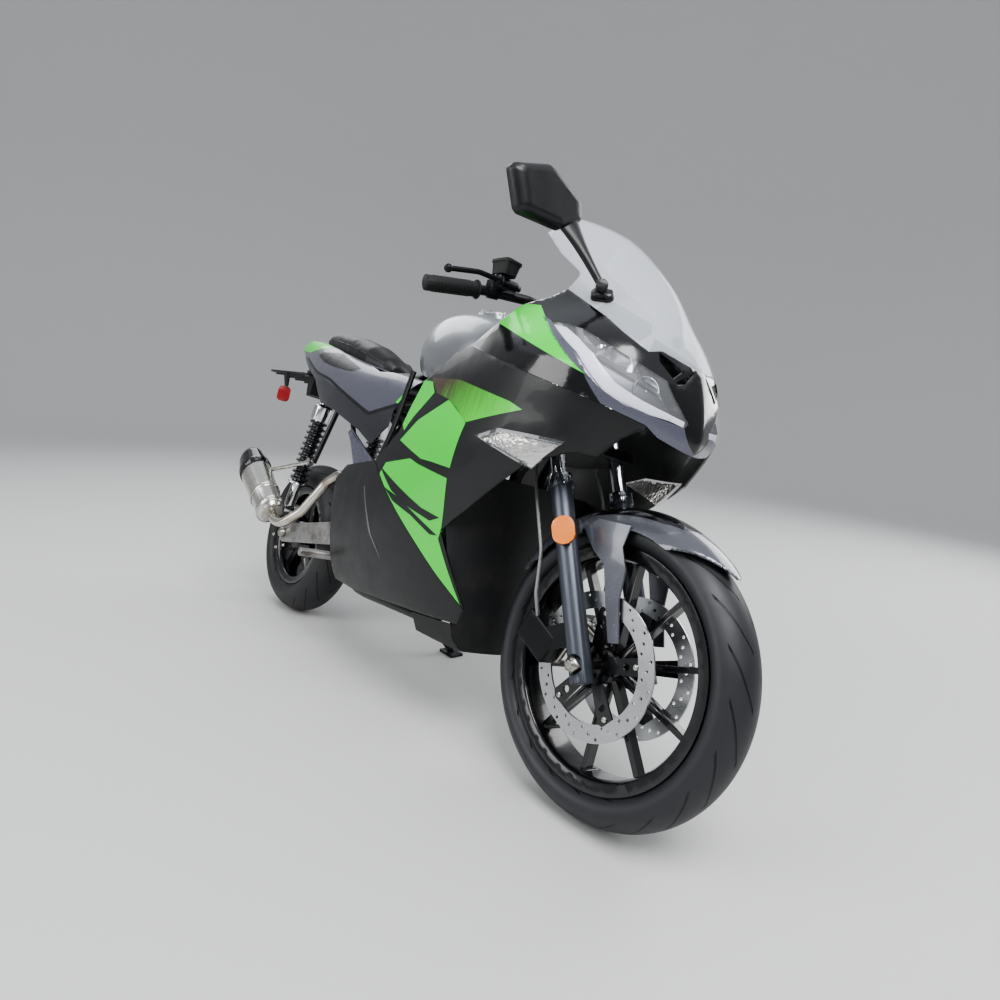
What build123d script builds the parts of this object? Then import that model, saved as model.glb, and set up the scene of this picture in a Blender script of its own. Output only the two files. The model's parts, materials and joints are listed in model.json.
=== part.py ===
"""Full-faired sport motorcycle on a 17-inch front and a 12-inch rear wheel, parked on its side stand.

Everything is modelled upright in the motorcycle's own frame: X forward, Y to the rider's left, Z up, with the
origin on the ground under the rear axle.  At the end the whole machine is leaned to its left about the line
through the two tyre contacts, and shifted so that the middle of its footprint is the origin.  Millimetres.
"""

import os
from math import atan2, cos, degrees, hypot, pi, radians, sin, tan

from build123d import *

# ---- stance and chassis -----------------------------------------------------------------------------------
LEAN = 12.5              # lean onto the side stand, degrees
WHEELBASE = 1345.0
RAKE = 28.0              # steering axis behind vertical, degrees
FORK_OFFSET = 35.0       # fork legs ahead of the steering axis
LEG_SPACING = 194.0      # between the centre lines of the fork legs

# ---- clearances ---------------------------------------------------------------------------------------------
FIT = 0.05               # radial clearance of a turning pin or bearing
SEAT_GAP = 0.3           # between pieces that are fastened together with curved faces

# ---- front wheel --------------------------------------------------------------------------------------------
FRONT_TYRE_R = 292.0
FRONT_TYRE_WIDTH = 110.0
FRONT_FLANGE_R = 229.0
FRONT_RIM_WIDTH = 84.0
FRONT_SPOKES = 10
FRONT_HUB_R = 30.0
FRONT_HUB_WIDTH = 96.0
FRONT_AXLE_R = 7.5
DISC_R = 138.0
DISC_RING = 33.0         # width of the friction ring
DISC_THICK = 4.0
DISC_SPACING = 122.0     # between the middles of the two discs
CARRIER_ARMS = 5
DRILLED = 16             # holes in each row of the friction ring
DRILL_R = 3.2
DRILL_ROWS = (0.22, 0.5, 0.78)        # places of the rows across the ring

# ---- rear wheel ---------------------------------------------------------------------------------------------
REAR_TYRE_R = 246.0
REAR_TYRE_WIDTH = 128.0
REAR_FLANGE_R = 162.0
REAR_RIM_WIDTH = 98.0
REAR_SPOKES = 5
REAR_HUB_R = 46.0
REAR_HUB_WIDTH = 104.0
REAR_AXLE_R = 8.0

# ---- fender --------------------------------------------------------------------------------------------------
FENDER_WALL = 3.0
FENDER_FRONT = 42.0      # tip ahead of the top of the wheel, degrees
FENDER_SWEEP = 104.0
FENDER_STAY = [
    (-98, 240), (-66, 266), (10, 268), (4, 226), (24, 188), (27, 130), (50, 58), (28, 52), (-3, 123), (-28, 186), (-60, 204),
]

# ---- fork ---------------------------------------------------------------------------------------------------
STANCHION_R = 16.0
SLIDER_R = 22.0
SLIDER_LOW = -34.0       # heights along the fork leg, from the front axle
SLIDER_TOP = 352.0
LOWER_YOKE = 452.0
UPPER_YOKE = 700.0
YOKE_THICK = 26.0
REFLECTOR_UP = 248.0     # of the side reflectors, along the fork leg
HOSE_R = 4.0
LEG_TOP = 742.0
NUT_FACE = 111.0         # flats on the sliders under the axle's head and nut
STEM_R = 14.0
HEAD_TUBE_R = 27.0

# ---- steering controls ----------------------------------------------------------------------------------------
BAR_R = 11.0
RISER_Y = 45.0
GRIP_R = 16.5
GRIP_LENGTH = 124.0
GRIP_END = (882.0, 334.0, 944.0)      # outer end of a grip, left side
MASTER = [(954.0, 216.0, 992.0), (950.0, 158.0, 998.0)]       # ends of a master cylinder
MASTER_R = 11.0
RESERVOIR = (950.0, 196.0, 1023.0)
BAR_BEND = (903.0, 200.0, 978.0)
BAR_RISE = (938.0, 104.0, 990.0)

# ---- rear suspension and engine ------------------------------------------------------------------------------
SPAR_Y = 84.0             # frame tubes beside the engine
FRAME_TUBE_R = 14.0
RAIL_Y = 80.0            # seat rails, where the shocks hang
RAIL_R = 11.0
ARM_Y = 86.0             # middle of the arm beside the rear wheel
ARM_WIDTH = 22.0
CASE_FACE = 132.0        # outer face of the belt case
CASE_FINS = 12
SHOCK_Y = 114.0
SHOCK_TOP_Y = 104.0
SPRING_R = 28.0
COILS = 11
SHOCK_LOW = (22.0, 332.0)             # x and z of the eyes
SHOCK_TOP = (88.0, 742.0)

# ---- bodywork -------------------------------------------------------------------------------------------------
PANEL = 4.0              # wall of the fairing panels
WALL_X = 1022.0          # wall behind the front wheel: foremost point, bow, half width and top
WALL_BOW = 87.0
WALL_HALF = 260.0
WALL_TOP = 590.0

# ---- side stand -------------------------------------------------------------------------------------------------
STAND_PIVOT = (520.0, 122.0, 178.0)
STAND_FOOT = (575.0, 246.0)           # x and y of the foot on the ground, before the lean
STAND_R = 10.0
STAND_AXIS = (0.0, 0.8, 0.6)

RAKE_SIN = sin(radians(RAKE))
RAKE_COS = cos(radians(RAKE))


def crown_radius(outer, width, flange):
    """Radius of the tread's cross-section, through the crown and both shoulders."""
    sag = outer - shoulder_radius(outer, flange)
    return ((width / 2) ** 2 + sag**2) / (2 * sag)


def shoulder_radius(outer, flange):
    """Wheel radius at which the tread meets the side wall."""
    return flange + 0.42 * (outer - flange)


def axle_height(outer, width, flange):
    """Height of an axle in the upright frame that puts the leaned tyre's lowest point on the ground."""
    crown = crown_radius(outer, width, flange)
    return outer - crown + crown / cos(radians(LEAN))


FRONT_AXLE = (WHEELBASE, 0, axle_height(FRONT_TYRE_R, FRONT_TYRE_WIDTH, FRONT_FLANGE_R))
REAR_AXLE = (0, 0, axle_height(REAR_TYRE_R, REAR_TYRE_WIDTH, REAR_FLANGE_R))
# The fork's own frame: origin on the front axle, z up the legs, x square to them and forward.
FORK = Plane(FRONT_AXLE, x_dir=(RAKE_COS, 0, RAKE_SIN), z_dir=(-RAKE_SIN, 0, RAKE_COS)).location


# ---- small helpers ----------------------------------------------------------------------------------------------
def ring_y(inner, outer, width, middle=0.0):
    """A ring about the Y axis."""
    ring = Cylinder(outer, width) - Cylinder(inner, width + 2)
    return Pos(0, middle, 0) * Rot(90, 0, 0) * ring


def rod_y(radius, start, end):
    """A rod along Y between two places."""
    return Pos(0, (start + end) / 2, 0) * Rot(90, 0, 0) * Cylinder(radius, abs(end - start))


def rod(start, end, radius):
    """A round rod between two points."""
    a, b = Vector(start), Vector(end)
    plane = Plane(a, z_dir=(b - a).normalized())
    return extrude(plane * Circle(radius), amount=(b - a).length)


def tube_path(points, radius, bends):
    """A round bar along straight runs joined by tangent arcs."""
    path = FilletPolyline(*points, radius=bends)
    plane = Plane(path @ 0, z_dir=path % 0)
    return sweep(plane * Circle(radius), path=path)


def mirrored(shape):
    """The same piece on the other side of the motorcycle."""
    return mirror(shape, about=Plane.XZ)


def inset(points, wall):
    """Outline points moved inward by a wall, square to the outline; the first stays on the middle line."""
    moved = []
    for i, (x, y) in enumerate(points):
        x0, y0 = points[max(i - 1, 0)]
        x1, y1 = points[min(i + 1, len(points) - 1)]
        tx, ty = x1 - x0, y1 - y0
        if i == 0:
            tx, ty = 0.0, -1.0
        size = hypot(tx, ty)
        moved.append((x + wall * ty / size, y - wall * tx / size))
    return moved


def half_section(z, points):
    """A horizontal half section of a hull: a smooth outline from the nose, closed along the middle line."""
    nose, tail = points[0], points[-1]
    side = Spline(*[(x, y, z) for x, y in points])
    back = Line((tail[0], tail[1], z), (tail[0], 0, z))
    middle = Line((tail[0], 0, z), (nose[0], 0, z))
    return make_face(Wire([side, back, middle]))


def half_hull(levels, wall=0.0):
    """The right half of a hull, lofted through horizontal half sections, its outside moved in by a wall."""
    return loft([half_section(z, inset(points, wall) if wall else points) for z, points in levels])


def front_prism(outline, x_from, x_to):
    """A prism along X over an outline given in Y and Z."""
    face = make_face(Polyline(*[(x_from, y, z) for y, z in outline], close=True))
    return extrude(face, amount=abs(x_to - x_from), dir=(1 if x_to > x_from else -1, 0, 0))


def side_prism(outline, y_from, y_to):
    """A prism along Y over an outline given in X and Z."""
    face = make_face(Polyline(*[(x, y_from, z) for x, z in outline], close=True))
    return extrude(face, amount=abs(y_to - y_from), dir=(0, 1 if y_to > y_from else -1, 0))


# ---- wheels -----------------------------------------------------------------------------------------------------
def tyre(outer, width, flange, rim_width):
    """A tyre about the Y axis: beads between the rim's flanges, rounded walls and an arched tread."""
    half, bead = width / 2, rim_width / 2 - 6
    shoulder = shoulder_radius(outer, flange)
    foot, lip = flange - 14 + SEAT_GAP, flange + 1.5
    walls = []
    for s in (-1, 1):
        walls.append(Spline((0, s * bead, lip), (0, s * half, shoulder), tangents=((0, s, 0.3), (0, 0, 1))))
        walls.append(Line((0, s * bead, lip), (0, s * bead, foot)))
    tread = ThreePointArc((0, -half, shoulder), (0, 0, outer), (0, half, shoulder))
    floor = Line((0, -bead, foot), (0, bead, foot))
    return revolve(make_face(Wire([*walls, tread, floor])), axis=Axis.Y)


def rim_ring(flange, rim_width, dish):
    """The rim's hoop: a well between two flanges."""
    half = rim_width / 2
    outline = [
        (-half, flange - 20), (-half, flange), (-half + 4, flange), (-half + 5.5, flange - 14),
        (half - 5.5, flange - 14), (half - 4, flange), (half, flange), (half, flange - 20),
        (half - dish, flange - 28), (-half + dish, flange - 28),
    ]
    return revolve(make_face(Polyline(*[(0, y, r) for y, r in outline], close=True)), axis=Axis.Y)


def spoke(inner, outer, root, tip, depth):
    """One tapered spoke standing up from the hub, in the XZ plane."""
    outline = [(-root / 2, inner), (root / 2, inner), (tip / 2, outer), (-tip / 2, outer)]
    return side_prism(outline, -depth / 2, depth / 2)


def front_rim():
    """Cast wheel with ten slim spokes in pairs that lean towards each other."""
    rim = rim_ring(FRONT_FLANGE_R, FRONT_RIM_WIDTH, 14)
    rim += ring_y(FRONT_AXLE_R + FIT, FRONT_HUB_R, FRONT_HUB_WIDTH)
    for i in range(FRONT_SPOKES):
        rim += Rot(0, i * 360 / FRONT_SPOKES, 0) * spoke(FRONT_HUB_R - 4, FRONT_FLANGE_R - 26, 15, 11, 22)
    return rim


def rear_rim():
    """Small cast wheel with five broad spokes."""
    rim = rim_ring(REAR_FLANGE_R, REAR_RIM_WIDTH, 14)
    rim += ring_y(REAR_AXLE_R + FIT, REAR_HUB_R, REAR_HUB_WIDTH)
    for i in range(REAR_SPOKES):
        rim += Rot(0, i * 360 / REAR_SPOKES, 0) * spoke(REAR_HUB_R - 5, REAR_FLANGE_R - 26, 38, 26, 34)
    return rim


def brake_disc(side):
    """One front disc, drilled and on a five-armed spider bolted to the hub; side is 1 left and -1 right."""
    middle = side * DISC_SPACING / 2
    hub_face = FRONT_HUB_WIDTH / 2
    disc = ring_y(DISC_R - DISC_RING, DISC_R, DISC_THICK, middle)
    for row, share in enumerate(DRILL_ROWS):
        hole = Pos(0, middle, DISC_R - share * DISC_RING) * rod_y(DRILL_R, -DISC_THICK, DISC_THICK)
        for i in range(DRILLED):
            disc -= Rot(0, (i + row / len(DRILL_ROWS)) * 360 / DRILLED, 0) * hole
    inner = abs(middle) - DISC_THICK / 2
    disc += ring_y(FRONT_HUB_R - 6, FRONT_HUB_R + 12, inner - hub_face + 2, side * (hub_face + inner + 2) / 2)
    root, tip = FRONT_HUB_R + 4, DISC_R - DISC_RING + 5
    for i in range(CARRIER_ARMS):
        arm = spoke(root, tip, 26, 34, DISC_THICK) - Pos(0, 0, (root + tip) / 2 + 6) * rod_y(7, -9, 9)
        disc += Rot(0, i * 360 / CARRIER_ARMS, 0) * Pos(0, middle, 0) * arm
    return disc


# ---- fork -------------------------------------------------------------------------------------------------------
def fork_leg(side):
    """One telescopic leg: slider with its axle lug and dust seal, and the stanchion up through both yokes."""
    y = side * LEG_SPACING / 2
    leg = Pos(0, y, (SLIDER_LOW + SLIDER_TOP) / 2) * Cylinder(SLIDER_R, SLIDER_TOP - SLIDER_LOW)
    leg += Pos(0, y, SLIDER_TOP + 6) * Cylinder(SLIDER_R + 3.5, 26)
    leg += Pos(0, y, (SLIDER_TOP + LEG_TOP) / 2) * Cylinder(STANCHION_R, LEG_TOP - SLIDER_TOP)
    leg -= rod_y(19, side * NUT_FACE, side * (NUT_FACE + 40))
    return leg - rod_y(FRONT_AXLE_R + FIT, y - 40, y + 40)


def yoke(height):
    """A clamp that joins both legs and the stem at a height along the legs."""
    plate = extrude(
        make_face(Polyline((-62, -34), (-62, 34), (0, 124), (26, 124), (26, -124), (0, -124), close=True)),
        amount=YOKE_THICK / 2, both=True,
    )
    plate = Pos(0, 0, height) * plate
    for side in (-1, 1):
        plate -= Pos(0, side * LEG_SPACING / 2, height) * Cylinder(STANCHION_R + FIT, YOKE_THICK + 2)
    return plate


def lower_yoke():
    """Lower clamp with the steering stem that runs up through the head tube."""
    stem_end = UPPER_YOKE + YOKE_THICK / 2 + 12
    stem = Pos(-FORK_OFFSET, 0, (LOWER_YOKE + stem_end) / 2) * Cylinder(STEM_R, stem_end - LOWER_YOKE)
    return yoke(LOWER_YOKE) + stem


def upper_yoke():
    """Upper clamp over the stem's end, with two risers that hold the handlebar."""
    plate = yoke(UPPER_YOKE)
    plate -= Pos(-FORK_OFFSET, 0, UPPER_YOKE) * Cylinder(STEM_R + FIT, YOKE_THICK + 2)
    bar = FORK.inverse() * Pos(BAR_RISE[0], 0, BAR_RISE[2])
    height = bar.position.Z + BAR_R + 7 - UPPER_YOKE
    for side in (-1, 1):
        plate += Pos(bar.position.X, side * RISER_Y, UPPER_YOKE + height / 2) * Box(36, 28, height)
    return plate - Pos(bar.position.X, 0, bar.position.Z) * rod_y(BAR_R + SEAT_GAP, -80, 80)


def front_axle():
    """Front axle with its nut outside the right leg."""
    axle = rod_y(FRONT_AXLE_R, -NUT_FACE - 18, NUT_FACE + 2)
    axle += Pos(0, -NUT_FACE - 7, 0) * Rot(90, 0, 0) * extrude(RegularPolygon(15, 6), amount=7, both=True)
    axle += rod_y(13, NUT_FACE, NUT_FACE + 7)
    return axle


def caliper(side):
    """A sliding caliper behind the leg, straddling the disc with a slot, on a bracket to the slider."""
    middle = side * DISC_SPACING / 2
    body = Pos(-DISC_R * 0.62 - 20, middle + side * 8, 72) * Rot(0, -38, 0) * Box(66, 62, 92)
    body = fillet(body.edges(), 7)
    slot = ring_y(0.1, DISC_R + 6, DISC_THICK + 6, middle)
    arm = Pos(-46, side * (LEG_SPACING / 2 - 4), 60) * Box(62, 12, 44)
    return body - slot + arm - Pos(0, side * LEG_SPACING / 2, 60) * Cylinder(SLIDER_R + SEAT_GAP, 200)


def fork_reflector(side):
    """Side reflector in its rim, on a bracket clamped to the slider."""
    y = side * LEG_SPACING / 2
    face = Plane((16, y + side * 24, REFLECTOR_UP), x_dir=(0.87, side * -0.5, 0), z_dir=(0.5, side * 0.87, 0))
    lens = extrude(face.location * RectangleRounded(44, 56, 20), amount=8)
    arm = rod((0, y, REFLECTOR_UP), face.origin, 9)
    return lens + arm - Pos(0, y, REFLECTOR_UP) * Cylinder(SLIDER_R + SEAT_GAP, 90)


def brake_hose(side):
    """Hose from the caliper, up behind the leg, to its guide under the lower yoke."""
    points = [(-100, side * 92, 92), (-88, side * 104, 150), (-60, side * 107, 230), (-58, side * 107, 380),
              (-56, side * 97, LOWER_YOKE)]
    return tube_path(points, HOSE_R, [40, 60, 60]) - caliper(side) - yoke(LOWER_YOKE)


def front_fender():
    """Thin guard hugging the front tyre, pointed in front, with lugs to the legs and a long stay on each side."""
    inner, wall, half = FRONT_TYRE_R + 12, FENDER_WALL, FRONT_TYRE_WIDTH / 2 + 10
    low = inner - 44
    outline = make_face(Wire([
        ThreePointArc((0, -half, low), (0, 0, inner), (0, half, low)),
        Line((0, half, low), (0, half + wall, low)),
        ThreePointArc((0, half + wall, low), (0, 0, inner + wall), (0, -half - wall, low)),
        Line((0, -half - wall, low), (0, -half, low)),
    ]))
    guard = revolve(Rot(0, FENDER_FRONT, 0) * outline, axis=Axis.Y, revolution_arc=-FENDER_SWEEP)
    tip = (inner + wall) * sin(radians(FENDER_FRONT))
    reach = (LEG_SPACING / 2 - SLIDER_R - SEAT_GAP) - half + 2
    tilt = Pos(*FRONT_AXLE).inverse() * FORK
    for side in (-1, 1):
        plan = make_face(Wire([
            ThreePointArc((tip - 150, side * (half + 6), 0), (tip - 62, side * 0.72 * half, 0), (tip, side * 5, 0)),
            Line((tip, side * 5, 0), (tip + 40, side * 5, 0)), Line((tip + 40, side * 5, 0), (tip + 40, side * 2 * half, 0)),
            Line((tip + 40, side * 2 * half, 0), (tip - 150, side * 2 * half, 0)),
            Line((tip - 150, side * 2 * half, 0), (tip - 150, side * (half + 6), 0)),
        ]))
        guard -= extrude(plan, amount=inner + 40, dir=(0, 0, 1))
        guard += tilt * Pos(0, side * (half - 2 + reach / 2), inner - 38) * Box(34, reach, 30)
        guard += side_prism(FENDER_STAY, side * (half + wall - 0.2), side * (half + wall + 4))
    return guard


def bar_tube(radius):
    """Bent tube from grip to grip over the upper yoke."""
    left = [GRIP_END, BAR_BEND, BAR_RISE]
    right = [(x, -y, z) for x, y, z in reversed(left)]
    return tube_path([*left, *right], radius, [60, 40, 40, 60])


def grip(side):
    """Rubber grip over the end of the bar."""
    end = Vector(GRIP_END[0], side * GRIP_END[1], GRIP_END[2])
    inner = Vector(BAR_BEND[0], side * BAR_BEND[1], BAR_BEND[2])
    way = (inner - end).normalized()
    sleeve = rod(end - way * 4, end + way * (GRIP_LENGTH - 4), GRIP_R)
    return sleeve - rod(end - way * FIT, end + way * GRIP_LENGTH, BAR_R + FIT)


def brake_lever(side):
    """Lever with a ball end, in front of the grip, pivoting on a master cylinder clamped to the bar."""
    tip, pivot = (952, side * 336, 969), (962, side * 214, 992)
    lever = tube_path([tip, (962, side * 268, 988), pivot], 5.5, [60]) + Pos(*tip) * Sphere(9)
    lever += Pos(*pivot) * Cylinder(11, 18)
    cylinder = rod(*[(x, side * y, z) for x, y, z in MASTER], MASTER_R)
    mouth = rod((950, side * 164, 998), (949, side * 146, 999), 7)
    inner, outer = Vector(BAR_RISE[0], side * BAR_RISE[1], BAR_RISE[2]), Vector(BAR_BEND[0], side * BAR_BEND[1], BAR_BEND[2])
    way = (inner - outer).normalized()
    clamp = rod(outer + way * 6, outer + way * 30, 14.5) + Pos(932, side * 182, 993) * Box(40, 20, 14)
    switches = Pos(*(outer + way * 16 + Vector(3, 0, 9))) * Box(28, 26, 30)
    return lever + cylinder + mouth + clamp + switches - bar_tube(BAR_R + SEAT_GAP)


def brake_reservoir(side):
    """Small fluid reservoir with a screwed lid, standing on the lever's master cylinder."""
    x, y, z = RESERVOIR
    pot = loft([Pos(x, side * y, z + d) * RectangleRounded(a, b, 7) for d, a, b in [(-15, 48, 34), (11, 56, 40)]])
    lid = extrude(Pos(x, side * y, z + 11) * RectangleRounded(60, 44, 8), amount=6)
    seat = rod(*[(x, side * y, z) for x, y, z in MASTER], MASTER_R + SEAT_GAP)
    return pot + lid + Pos(x, side * y, z - 21) * Cylinder(9, 14) - seat


# ---- bodywork hulls -----------------------------------------------------------------------------------------------
# Horizontal half outlines of the fairing on the right side, from the nose to behind the knees.
FAIRING_HULL = [
    (200, [(1080, 0), (1070, -40), (1045, -75), (1000, -100), (900, -118), (780, -128), (640, -130), (360, -128)]),
    (255, [(1150, 0), (1140, -55), (1110, -100), (1050, -125), (920, -148), (780, -160), (640, -162), (360, -152)]),
    (300, [(1180, 0), (1168, -60), (1135, -108), (1050, -140), (920, -166), (780, -176), (640, -176), (360, -160)]),
    (450, [(1250, 0), (1235, -70), (1195, -130), (1110, -170), (960, -196), (800, -208), (640, -202), (360, -165)]),
    (560, [(1300, 0), (1288, -75), (1250, -140), (1170, -192), (1040, -222), (860, -226), (660, -208), (400, -165)]),
    (660, [(1350, 0), (1336, -70), (1295, -140), (1235, -200), (1120, -238), (920, -238), (700, -208), (450, -160)]),
    (724, [(1400, 0), (1372, -70), (1330, -138), (1268, -198), (1150, -238), (960, -238), (740, -205), (500, -155)]),
    (790, [(1396, 0), (1374, -82), (1334, -156), (1274, -212), (1168, -244), (978, -235), (760, -196), (560, -150)]),
    (850, [(1376, 0), (1354, -84), (1314, -158), (1252, -212), (1152, -236), (978, -222), (790, -183), (600, -140)]),
    (920, [(1340, 0), (1324, -66), (1286, -124), (1222, -170), (1118, -198), (978, -203), (840, -172), (680, -130)]),
    (975, [(1300, 0), (1286, -44), (1248, -90), (1188, -130), (1095, -163), (980, -177), (880, -160), (740, -120)]),
    (1030, [(1256, 0), (1242, -40), (1203, -84), (1138, -120), (1060, -139), (980, -143), (880, -136), (740, -115)]),
    (1085, [(1198, 0), (1185, -34), (1145, -74), (1090, -106), (1030, -119), (960, -122), (870, -116), (740, -105)]),
    (1135, [(1134, 0), (1121, -30), (1085, -63), (1042, -88), (1000, -100), (945, -104), (860, -98), (740, -90)]),
    (1175, [(1064, 0), (1053, -31), (1030, -58), (1004, -76), (974, -85), (936, -90), (850, -84), (740, -74)]),
    (1196, [(1006, 0), (1000, -26), (990, -47), (976, -60), (960, -67), (936, -71), (850, -68), (740, -58)]),
]
UPPER_COWL_EDGE = [
    (926, 850), (991, 897), (1040, 946), (1085, 966), (1109, 990), (1183, 955), (1246, 924), (1328, 874), (1336, 884),
    (1362, 873), (1440, 873), (1440, 700), (1388, 716), (1368, 727), (1358, 742), (1306, 758), (1185, 785),
]
SIDE_FAIRING_EDGE = [
    (762, 768), (800, 787), (860, 836), (926, 849), (1185, 784), (1306, 757), (1357, 741), (1352, 733), (1326, 708),
    (1296, 668), (1262, 664), (1180, 617), (960, 448), (1040, 300), (640, 556), (730, 637),
]
HEADLIGHT_EDGE = [
    (1150, 901), (1186, 900), (1230, 890), (1277, 871), (1331, 847), (1361, 831), (1380, 795), (1393, 766), (1391, 757),
    (1379, 761), (1360, 761), (1324, 771), (1304, 783), (1248, 840),
]
INDICATOR_EDGE = [(1053, 657), (1114, 679), (1256, 679), (1196, 616)]
LOWER_COVER_EDGE = [(395, 480), (452, 524), (636, 556), (1037, 299), (1020, 262), (915, 250), (573, 216), (478, 216)]
SCREEN_EDGE = [
    (1440, 873), (1362, 873), (1336, 884), (1328, 874), (1246, 924), (1183, 955), (1109, 990), (1112, 1026), (1103, 1037),
    (1020, 1088), (938, 1150), (1004, 1196), (1004, 1230), (1440, 1230),
]
# Air slots between the screen and the nose, seen from the front (y and z), right side.
NOSE_SLOTS = [
    [(-97, 880), (-46, 860), (-72, 838), (-98, 862)],
    [(-68, 833), (-17, 870), (-22, 860), (-42, 838), (-61, 829)],
]
FILLER = (700.0, 990.0)  # x and height of the filler's rim
FILLER_R = 44.0
FILLER_HINGE = (752.0, 995.7)
HINGE_PIN_R = 2.5
MIRROR_FOOT = (1190.0, -129.5, 975.0)
MIRROR_AXIS = (0.35, -0.71, 0.61)
MIRROR_ALONG = (0.71, 0.35, 0.0)
MIRROR_HEAD = (1130.0, -282.0, 1114.0)  # middle of the mirror's rim
MIRROR_RIM = [(-96, 9), (-88, 22), (-14, 57), (0, 55), (90, 24), (98, -6), (46, -44), (-56, -58), (-66, -54)]
MIRROR_NECK = (1134.0, -216.0, 1094.0)  # where the stalk runs into the head
MIRROR_PIVOT = 26.0      # of the stalk above the pad
MIRROR_BOLTS = 20.0      # between the two holes of a mirror pad
MIRROR_HOLE_R = 2.6
PLATE_BOLTS = 60.0       # between the two holes of the number plate bracket
PLATE_HOLE_R = 3.2
PLATE_HOLES_X = -505.0
PLATE_FRONT = -205.0
PLATE_REAR = -548.0
RIB_PLACES = (-58, -20, 20, 58)
REFLECTOR = (-384.0, -60.0, 705.0)
PLATE_THICK = 5.0
PLATE_Z = 786.2
NOSE_STAY_Z = 800.0
NOSE_STAY_R = 8.0
BINNACLE = (1129.0, 0.0, 965.0)
BELLY_EDGE = [(868, 190), (868, 242), (915, 247), (1018, 259), (1100, 259), (1100, 190)]


def shell_panel(outer, inner, outline, front=-300):
    """The piece of a hull's wall inside a side-view outline, on the right side."""
    return (side_prism(outline, 0, front) & outer) - inner


# ---- the assembly ----------------------------------------------------------------------------------------------
def tank_section(x, half, low, mid, top):
    """A cross-section of the fuel tank: flat under, full at the sides and arched on top."""
    side = Spline(
        (x, -0.86 * half, low), (x, -half, mid), (x, -0.68 * half, top - 0.2 * (top - mid)), (x, 0, top),
        (x, 0.68 * half, top - 0.2 * (top - mid)), (x, half, mid), (x, 0.86 * half, low),
    )
    return make_face(Wire([side, Line((x, 0.86 * half, low), (x, -0.86 * half, low))]))


def fuel_tank():
    """Tall, narrow-waisted tank."""
    stations = [
        (490, 58, 846, 885, 928), (560, 108, 815, 872, 972), (660, 146, 792, 862, 988), (770, 160, 800, 868, 976),
        (870, 146, 832, 880, 944), (915, 120, 850, 886, 920),
    ]
    tank = loft([tank_section(*s) for s in stations])
    x, z = FILLER
    tank += Pos(x, 0, z - 20) * Cylinder(FILLER_R + 6, 40)
    tank += Pos(x + FILLER_R + 4, 0, z - 12) * Box(22, 34, 24)
    for side in (-1, 1):
        tank += Pos(FILLER_HINGE[0] - 1, side * 13, z + 4) * Box(13, 6, 14)
    return tank + Pos(FILLER_HINGE[0], 0, FILLER_HINGE[1]) * rod_y(HINGE_PIN_R, -14, 14)


def filler_cap():
    """Flush fuel filler lid with its hinge tongue in front."""
    x, z = FILLER
    hx, hz = FILLER_HINGE
    lid = Pos(x, 0, z + SEAT_GAP + 4.5) * Cylinder(FILLER_R, 9)
    lid += Pos((x + FILLER_R + hx) / 2 - 3, 0, hz + 0.8) * Box(hx - x - FILLER_R + 6, 17, 6)
    lid += Pos(hx, 0, hz) * rod_y(5.2, -8.5, 8.5)
    return lid - Pos(hx, 0, hz) * rod_y(HINGE_PIN_R + FIT, -20, 20)


def pad(stations):
    """A soft saddle pad lofted through cross-sections: (x, half width, underside, top)."""
    faces = []
    for x, half, low, top in stations:
        rise = top - low - 8
        side = Spline((x, -half, low + 8), (x, -0.86 * half, top - 0.3 * rise), (x, 0, top),
                      (x, 0.86 * half, top - 0.3 * rise), (x, half, low + 8), tangents=[(0, 0, 1), (0, 0, -1)])
        faces.append(make_face(Wire([side, Line((x, half, low + 8), (x, 0.9 * half, low)),
                                     Line((x, 0.9 * half, low), (x, -0.9 * half, low)),
                                     Line((x, -0.9 * half, low), (x, -half, low + 8))])))
    return loft(faces, ruled=True) & pad_opening(stations, 0.0)


RIDER_PAD = [(322, 108, 776, 812), (400, 122, 768, 810), (470, 100, 766, 816), (515, 74, 768, 828)]
PILLION_PAD = [
    (-215, 26, 905, 928), (-150, 52, 890, 944), (-30, 78, 868, 938), (100, 94, 844, 922), (215, 92, 818, 898),
    (290, 64, 806, 866), (316, 40, 806, 842),
]


def pad_opening(stations, gap=SEAT_GAP):
    """The upright hole that a pad fills, larger all round by the gap between them."""
    first, last = stations[0][0] - gap, stations[-1][0] + gap
    middle = [(x, half + gap) for x, half, _, _ in stations[1:-1]]
    edge = [(first, stations[0][1] + gap), *middle, (last, stations[-1][1] + gap)]
    outline = Polyline(*edge, *[(x, -y) for x, y in reversed(edge)], close=True)
    return Pos(0, 0, 650) * extrude(make_face(outline), amount=350)


def tail_section(x, half, low, top, wall=0.0):
    """A cross-section of the tail, or of the hollow under it when it has a wall."""
    mid = top - 0.35 * (top - low)
    foot, floor = 0.92 * half - wall, low - (30 if wall else 0)
    side = Spline((x, -foot, low), (x, wall - half, mid), (x, 0.7 * wall - 0.8 * half, top - 6 - 0.8 * wall),
                  (x, 0, top - wall), (x, 0.8 * half - 0.7 * wall, top - 6 - 0.8 * wall), (x, half - wall, mid),
                  (x, foot, low))
    if not wall:
        return make_face(Wire([side, Line((x, foot, low), (x, -foot, low))]))
    return make_face(Wire([side, Line((x, foot, low), (x, foot, floor)), Line((x, foot, floor), (x, -foot, floor)),
                           Line((x, -foot, floor), (x, -foot, low))]))


TAIL_STATIONS = [
    (-399, 16, 878, 907), (-300, 52, 836, 914), (-150, 92, 780, 900), (0, 124, 725, 876), (150, 145, 655, 846),
    (300, 152, 620, 818), (430, 150, 588, 804), (520, 145, 580, 795), (612, 138, 600, 786),
]
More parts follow.
